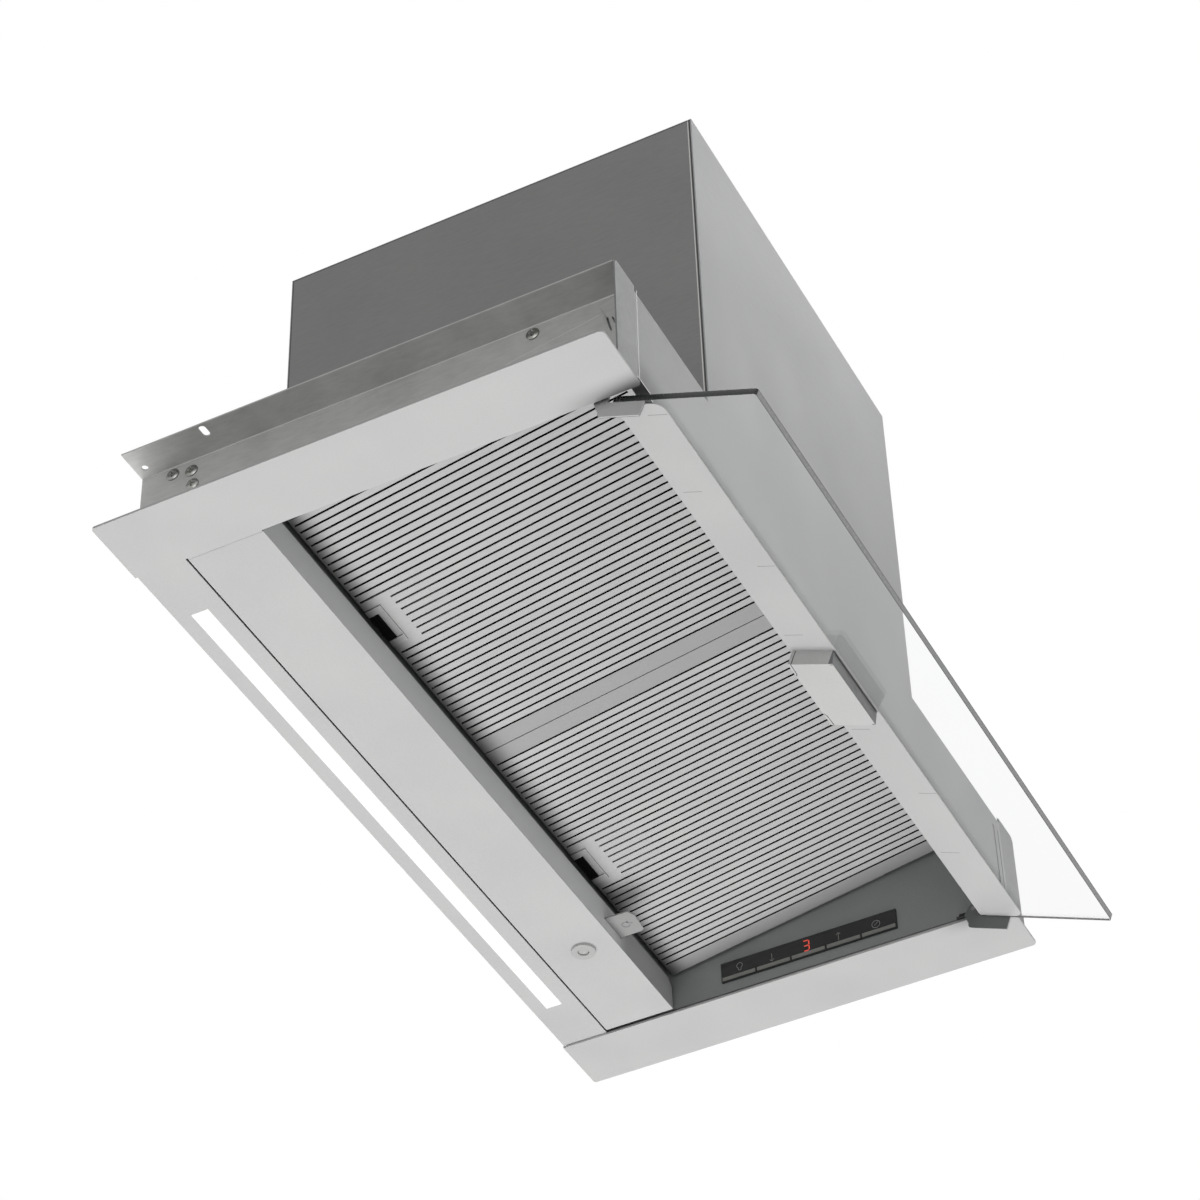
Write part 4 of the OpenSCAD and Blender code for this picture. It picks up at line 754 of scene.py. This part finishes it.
def pale_floor():
    """Pale painted floor far below: seen white by the eye, and it keeps the shadow."""
    made = bpy.data.materials.new("pale_floor_paint")
    made.use_nodes = True
    tree = made.node_tree
    tree.nodes.clear()
    glow = add(tree, "Emission", {"Color": linear("#f2f2f2"), "Strength": 0.75})
    paint = add(tree, "BsdfDiffuse", {"Color": linear("#8c8c8c")})
    bright = add(tree, "AddShader", {0: glow, 1: paint})
    plain = add(tree, "BsdfDiffuse", {"Color": linear("#e0e0e0")})
    both = add(tree, "MixShader", {0: seen_share(tree), 1: plain, 2: bright})
    add(tree, "OutputMaterial", {"Surface": both})
    return made


def white_studio():
    """The air round the hood: white to the eye, and a dim even light on everything."""
    made = bpy.data.worlds.new("studio")
    made.use_nodes = True
    tree = made.node_tree
    tree.nodes.clear()
    white = add(tree, "Background", {"Color": linear("#ffffff"), "Strength": 1.0})
    dim = add(tree, "Background", {"Color": linear("#ffffff"), "Strength": AMBIENT})
    both = add(tree, "MixShader", {0: seen_share(tree), 1: dim, 2: white})
    add(tree, "OutputWorld", {"Surface": both})
    return made


def softbox(name, towards, distance, size, level):
    """A square area lamp; level is what it adds to a white surface that faces it."""
    lamp = bpy.data.lights.new(name, "AREA")
    lamp.shape, lamp.size = "SQUARE", size
    lamp.energy = level * math.pi ** 2 * distance ** 2
    made = bpy.data.objects.new(name, lamp)
    way = Vector(towards).normalized()
    made.location = HOOD_CENTRE + way * distance
    made.rotation_mode = "QUATERNION"
    made.rotation_quaternion = way.to_track_quat("Z", "Y")
    made.visible_camera = False
    bpy.context.scene.collection.objects.link(made)


span = np.linspace(-FLOOR_HALF, FLOOR_HALF, 3)
floor_x, floor_y = np.meshgrid(span, span)
floor_points, floor_faces = grid(np.stack([floor_x, floor_y, np.full_like(floor_x, FLOOR_LEVEL)], -1))
floor_mesh = bpy.data.meshes.new("floor")
floor_mesh.from_pydata(floor_points.tolist(), [], floor_faces)
floor_mesh.materials.append(pale_floor())
floor = bpy.data.objects.new("floor", floor_mesh)
bpy.context.scene.collection.objects.link(floor)

bpy.context.scene.world = white_studio()

softbox("below", (0.15, 0.24, -1.0), 3.6, 2.6, 0.72)
softbox("front_low", (0.1, -1.0, -0.4), 3.6, 2.0, 0.15)
softbox("front_high", (0.35, -0.6, 0.83), 1.05, 0.8, 0.13)
softbox("left_low", (-1.0, -0.1, -0.15), 4.0, 2.0, 0.16)
softbox("overhead", (0.1, 0.2, 1.0), 4.0, 2.0, 0.45)
softbox("rear_right", (0.8, 0.6, 0.25), 4.0, 2.0, 0.35)

lens = bpy.data.cameras.new("camera")
lens.sensor_width, lens.lens = SENSOR_WIDTH, FOCAL_LENGTH
lens.clip_start, lens.clip_end = CLIP_START, CLIP_END
camera = bpy.data.objects.new("camera", lens)
aim = Matrix((CAMERA_RIGHT, CAMERA_UP, -CAMERA_FORWARD)).transposed().to_quaternion()
camera.matrix_world = Matrix.LocRotScale(CAMERA_PLACE, aim, None)
bpy.context.scene.collection.objects.link(camera)
bpy.context.scene.camera = camera
bpy.context.scene.view_settings.view_transform = "Standard"
